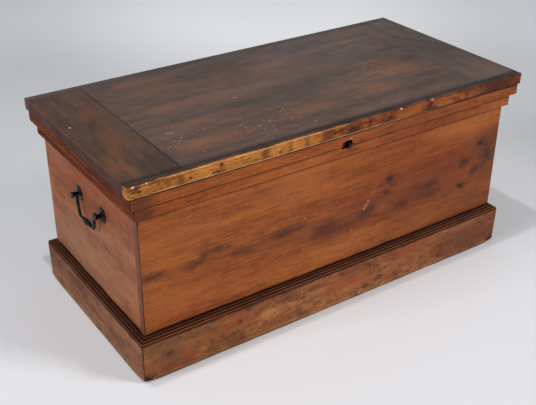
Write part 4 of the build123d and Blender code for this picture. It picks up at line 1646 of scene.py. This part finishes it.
    def back_strip(self) -> None:
        """The strip along the back, dark all over."""
        low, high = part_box("lid_back_strip")
        marks = [
            arris((ALL, high.y, self.top), 0.0030, srgb(22, 16, 14), 0.85),
            arris((ALL, low.y, self.top), 0.0030, BLACK_JOINT, 0.9),
            Mark((0.0, high.y, self.top), (ALL, 0.028, 0.002), srgb(40, 30, 26), 0.6, 0.4, 40.0, 0.5),
        ]
        timber("lid_back_strip", LID_PINE, *marks)


class IronWork:
    """The hinges, the lock and the handles."""

    def build(self) -> None:
        """Dresses every iron node."""
        handle = HANDLE_IRON.dress()
        lock = LOCK_IRON.dress()
        for name in sorted(bpy.data.objects.keys()):
            if name.startswith(("left_hinge", "right_hinge", "hinge_", "lock_", "link_plate")):
                clothe(name, lock)
            elif name.endswith(("post", "rose", "bail", "nuts")):
                clothe(name, handle)


@dataclass(frozen=True)
class Lamp:
    """A soft square lamp.

    Attributes:
        name: Its name.
        place: Where it hangs.
        side: How wide it is.
        power: Its power in watts.
        colour: The colour of its light.
    """

    name: str
    place: Point
    side: float
    power: float
    colour: Colour = (1.0, 1.0, 1.0)

    def hang(self, target: Point) -> None:
        """Adds the lamp and turns it towards a point.

        Args:
            target: The point.
        """
        light = bpy.data.lights.new(self.name, "AREA")
        light.shape = "SQUARE"
        light.size = self.side
        light.energy = self.power
        light.color = self.colour
        lamp = bpy.data.objects.new(self.name, light)
        lamp.location = self.place
        lamp.rotation_euler = (Vector(target) - Vector(self.place)).to_track_quat("-Z", "Y").to_euler()
        bpy.context.scene.collection.objects.link(lamp)


@dataclass(frozen=True)
class Studio:
    """The pale floor, the lamps, the background and the camera.

    Attributes:
        azimuth: The way that the camera looks, in degrees from the chest's back.
        elevation: How far it looks down, in degrees.
        roll: How far it leans, in degrees.
        place: Where it stands.
        focal_pixels: Its focal length in pixels of the photograph.
        photo_width: How many pixels wide the photograph is.
        sensor: How wide its sensor is, in millimetres.
        floor_size: How wide the floor is.
        aim: The point that the lamps light.
        room_light: The colour of the light from all round.
        room_strength: The strength of that light.
        room_wall: The colour that the camera and the wax see beyond the floor.
        back_gleam: How strongly the painted pool of light on the floor behind the chest glows for the camera.
    """

    azimuth: float = -34.495
    elevation: float = 29.518
    roll: float = 0.445
    place: Point = (-1.18216, -1.66342, 1.32277)
    focal_pixels: float = 900.56
    photo_width: float = 536.0
    sensor: float = 36.0
    floor_size: float = 40.0
    aim: Point = (0.0, 0.0, 0.25)
    room_light: Colour = srgb(240, 244, 250)
    room_strength: float = 0.25
    room_wall: Colour = srgb(196, 197, 200)
    back_gleam: float = 0.11

    def build(self) -> None:
        """Sets the whole studio up."""
        self.floor()
        self.background()
        for lamp in self.lamps():
            lamp.hang(self.aim)
        self.camera()
        scene = bpy.context.scene
        scene.view_settings.view_transform = "Standard"
        scene.view_settings.look = "None"

    @staticmethod
    def lamps() -> tuple[Lamp, ...]:
        """A soft lamp at the left, one at the front right, and a small one overhead.

        Returns:
            The lamps.
        """
        return (
            Lamp("left_lamp", (-4.8, 0.0, 3.1), 1.6, 142.0),
            Lamp("front_lamp", (3.0, -3.9, 3.6), 1.6, 180.0, (1.0, 1.0, 0.985)),
            Lamp("top_lamp", (-0.66, -0.20, 3.2), 0.07, 21.0),
        )

    def floor(self) -> None:
        """A wide pale floor, with a painted shadow round the chest and a painted pool of light behind it."""
        mesh = bmesh.new()
        bmesh.ops.create_grid(mesh, x_segments=1, y_segments=1, size=self.floor_size / 2)
        data = bpy.data.meshes.new("floor")
        mesh.to_mesh(data)
        mesh.free()
        plane = bpy.data.objects.new("floor", data)
        sheet = Sheet("floor_paper")
        cloud = sheet.noise(sheet.stretch(EVEN), Pattern(1.0, 0.8, 3.0, 0.5))
        away = sheet.near(ORIGIN, (1.0, 1.0, ALL))
        behind = sheet.near((1.20, 1.86, 0.0), (1.30, 1.30, ALL))
        tone = sheet.mix(cloud, srgb(228, 229, 232), srgb(232, 233, 236))
        # Darker from 0.8 m out and pale again past 1.6 m: a painted shadow round the chest.
        tone = sheet.mix(sheet.span(away, 0.80, 1.25), tone, srgb(212, 213, 216))
        tone = sheet.mix(sheet.span(away, 1.60, 2.50), tone, srgb(238, 239, 242))
        # A painted pool of light on the floor behind the chest.
        tone = sheet.mix(sheet.span(behind, 0.25, 1.0, 1.0, 0.0), tone, srgb(250, 251, 253))
        sheet.feed(sheet.shader.inputs["Base Color"], tone)
        sheet.shader.inputs["Roughness"].default_value = 0.85
        # Painted light: the pool also glows for camera rays.
        seen = sheet.tree.nodes.new("ShaderNodeLightPath").outputs["Is Camera Ray"]
        sheet.shader.inputs["Emission Color"].default_value = (1.0, 1.0, 1.0, 1.0)
        gleam = sheet.math("MULTIPLY", seen, sheet.span(behind, 0.2, 1.0, self.back_gleam, 0.0))
        sheet.feed(sheet.shader.inputs["Emission Strength"], gleam)
        data.materials.append(sheet.material)
        bpy.context.scene.collection.objects.link(plane)

    @staticmethod
    def glow(nodes: bpy.types.Nodes, colour: Colour, strength: float) -> bpy.types.Node:
        """A background shader of one colour.

        Args:
            nodes: The nodes that it joins.
            colour: Its colour.
            strength: Its strength.

        Returns:
            The shader node.
        """
        node = nodes.new("ShaderNodeBackground")
        node.inputs["Color"].default_value = (*colour, 1.0)
        node.inputs["Strength"].default_value = strength
        return node

    def background(self) -> None:
        """A pale grey all round, which the wax reflects and the camera sees beyond the floor."""
        world = bpy.data.worlds.new("pale_room")
        world.use_nodes = True
        nodes = world.node_tree.nodes
        links = world.node_tree.links
        nodes.clear()
        light = self.glow(nodes, self.room_light, self.room_strength)
        seen = self.glow(nodes, self.room_wall, 1.0)
        path = nodes.new("ShaderNodeLightPath")
        mirrored = nodes.new("ShaderNodeMath")
        mirrored.operation = "MAXIMUM"
        links.new(path.outputs["Is Camera Ray"], mirrored.inputs[0])
        links.new(path.outputs["Is Glossy Ray"], mirrored.inputs[1])
        blend = nodes.new("ShaderNodeMixShader")
        output = nodes.new("ShaderNodeOutputWorld")
        links.new(mirrored.outputs["Value"], blend.inputs["Fac"])
        links.new(light.outputs["Background"], blend.inputs[1])
        links.new(seen.outputs["Background"], blend.inputs[2])
        links.new(blend.outputs["Shader"], output.inputs["Surface"])
        bpy.context.scene.world = world

    def camera(self) -> None:
        """Stands the camera where the photograph was taken from."""
        data = bpy.data.cameras.new("camera")
        data.sensor_width = self.sensor
        data.lens = self.focal_pixels / self.photo_width * self.sensor
        data.clip_start = 0.05
        data.clip_end = 60.0
        camera = bpy.data.objects.new("camera", data)
        turn = math.radians(self.azimuth)
        tilt = math.radians(self.elevation)
        ahead = Vector((-math.sin(turn) * math.cos(tilt), math.cos(turn) * math.cos(tilt), -math.sin(tilt)))
        upright = ahead.to_track_quat("-Z", "Y")
        camera.rotation_mode = "QUATERNION"
        camera.rotation_quaternion = upright @ Quaternion((0.0, 0.0, 1.0), math.radians(self.roll))
        camera.location = self.place
        bpy.context.scene.collection.objects.link(camera)
        bpy.context.scene.camera = camera


def main() -> None:
    """Loads the frame, dresses the chest and sets the studio up."""
    logging.basicConfig(level=logging.INFO, format="%(message)s")
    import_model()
    parts = (
        ChestBox.from_frame(),
        SteppedMouldings(),
        Plinth.from_frame(),
        Lid.from_frame(),
        IronWork(),
        Studio(),
    )
    for part in parts:
        LOG.info("building %s", type(part).__name__)
        part.build()


if __name__ == "__main__":
    main()
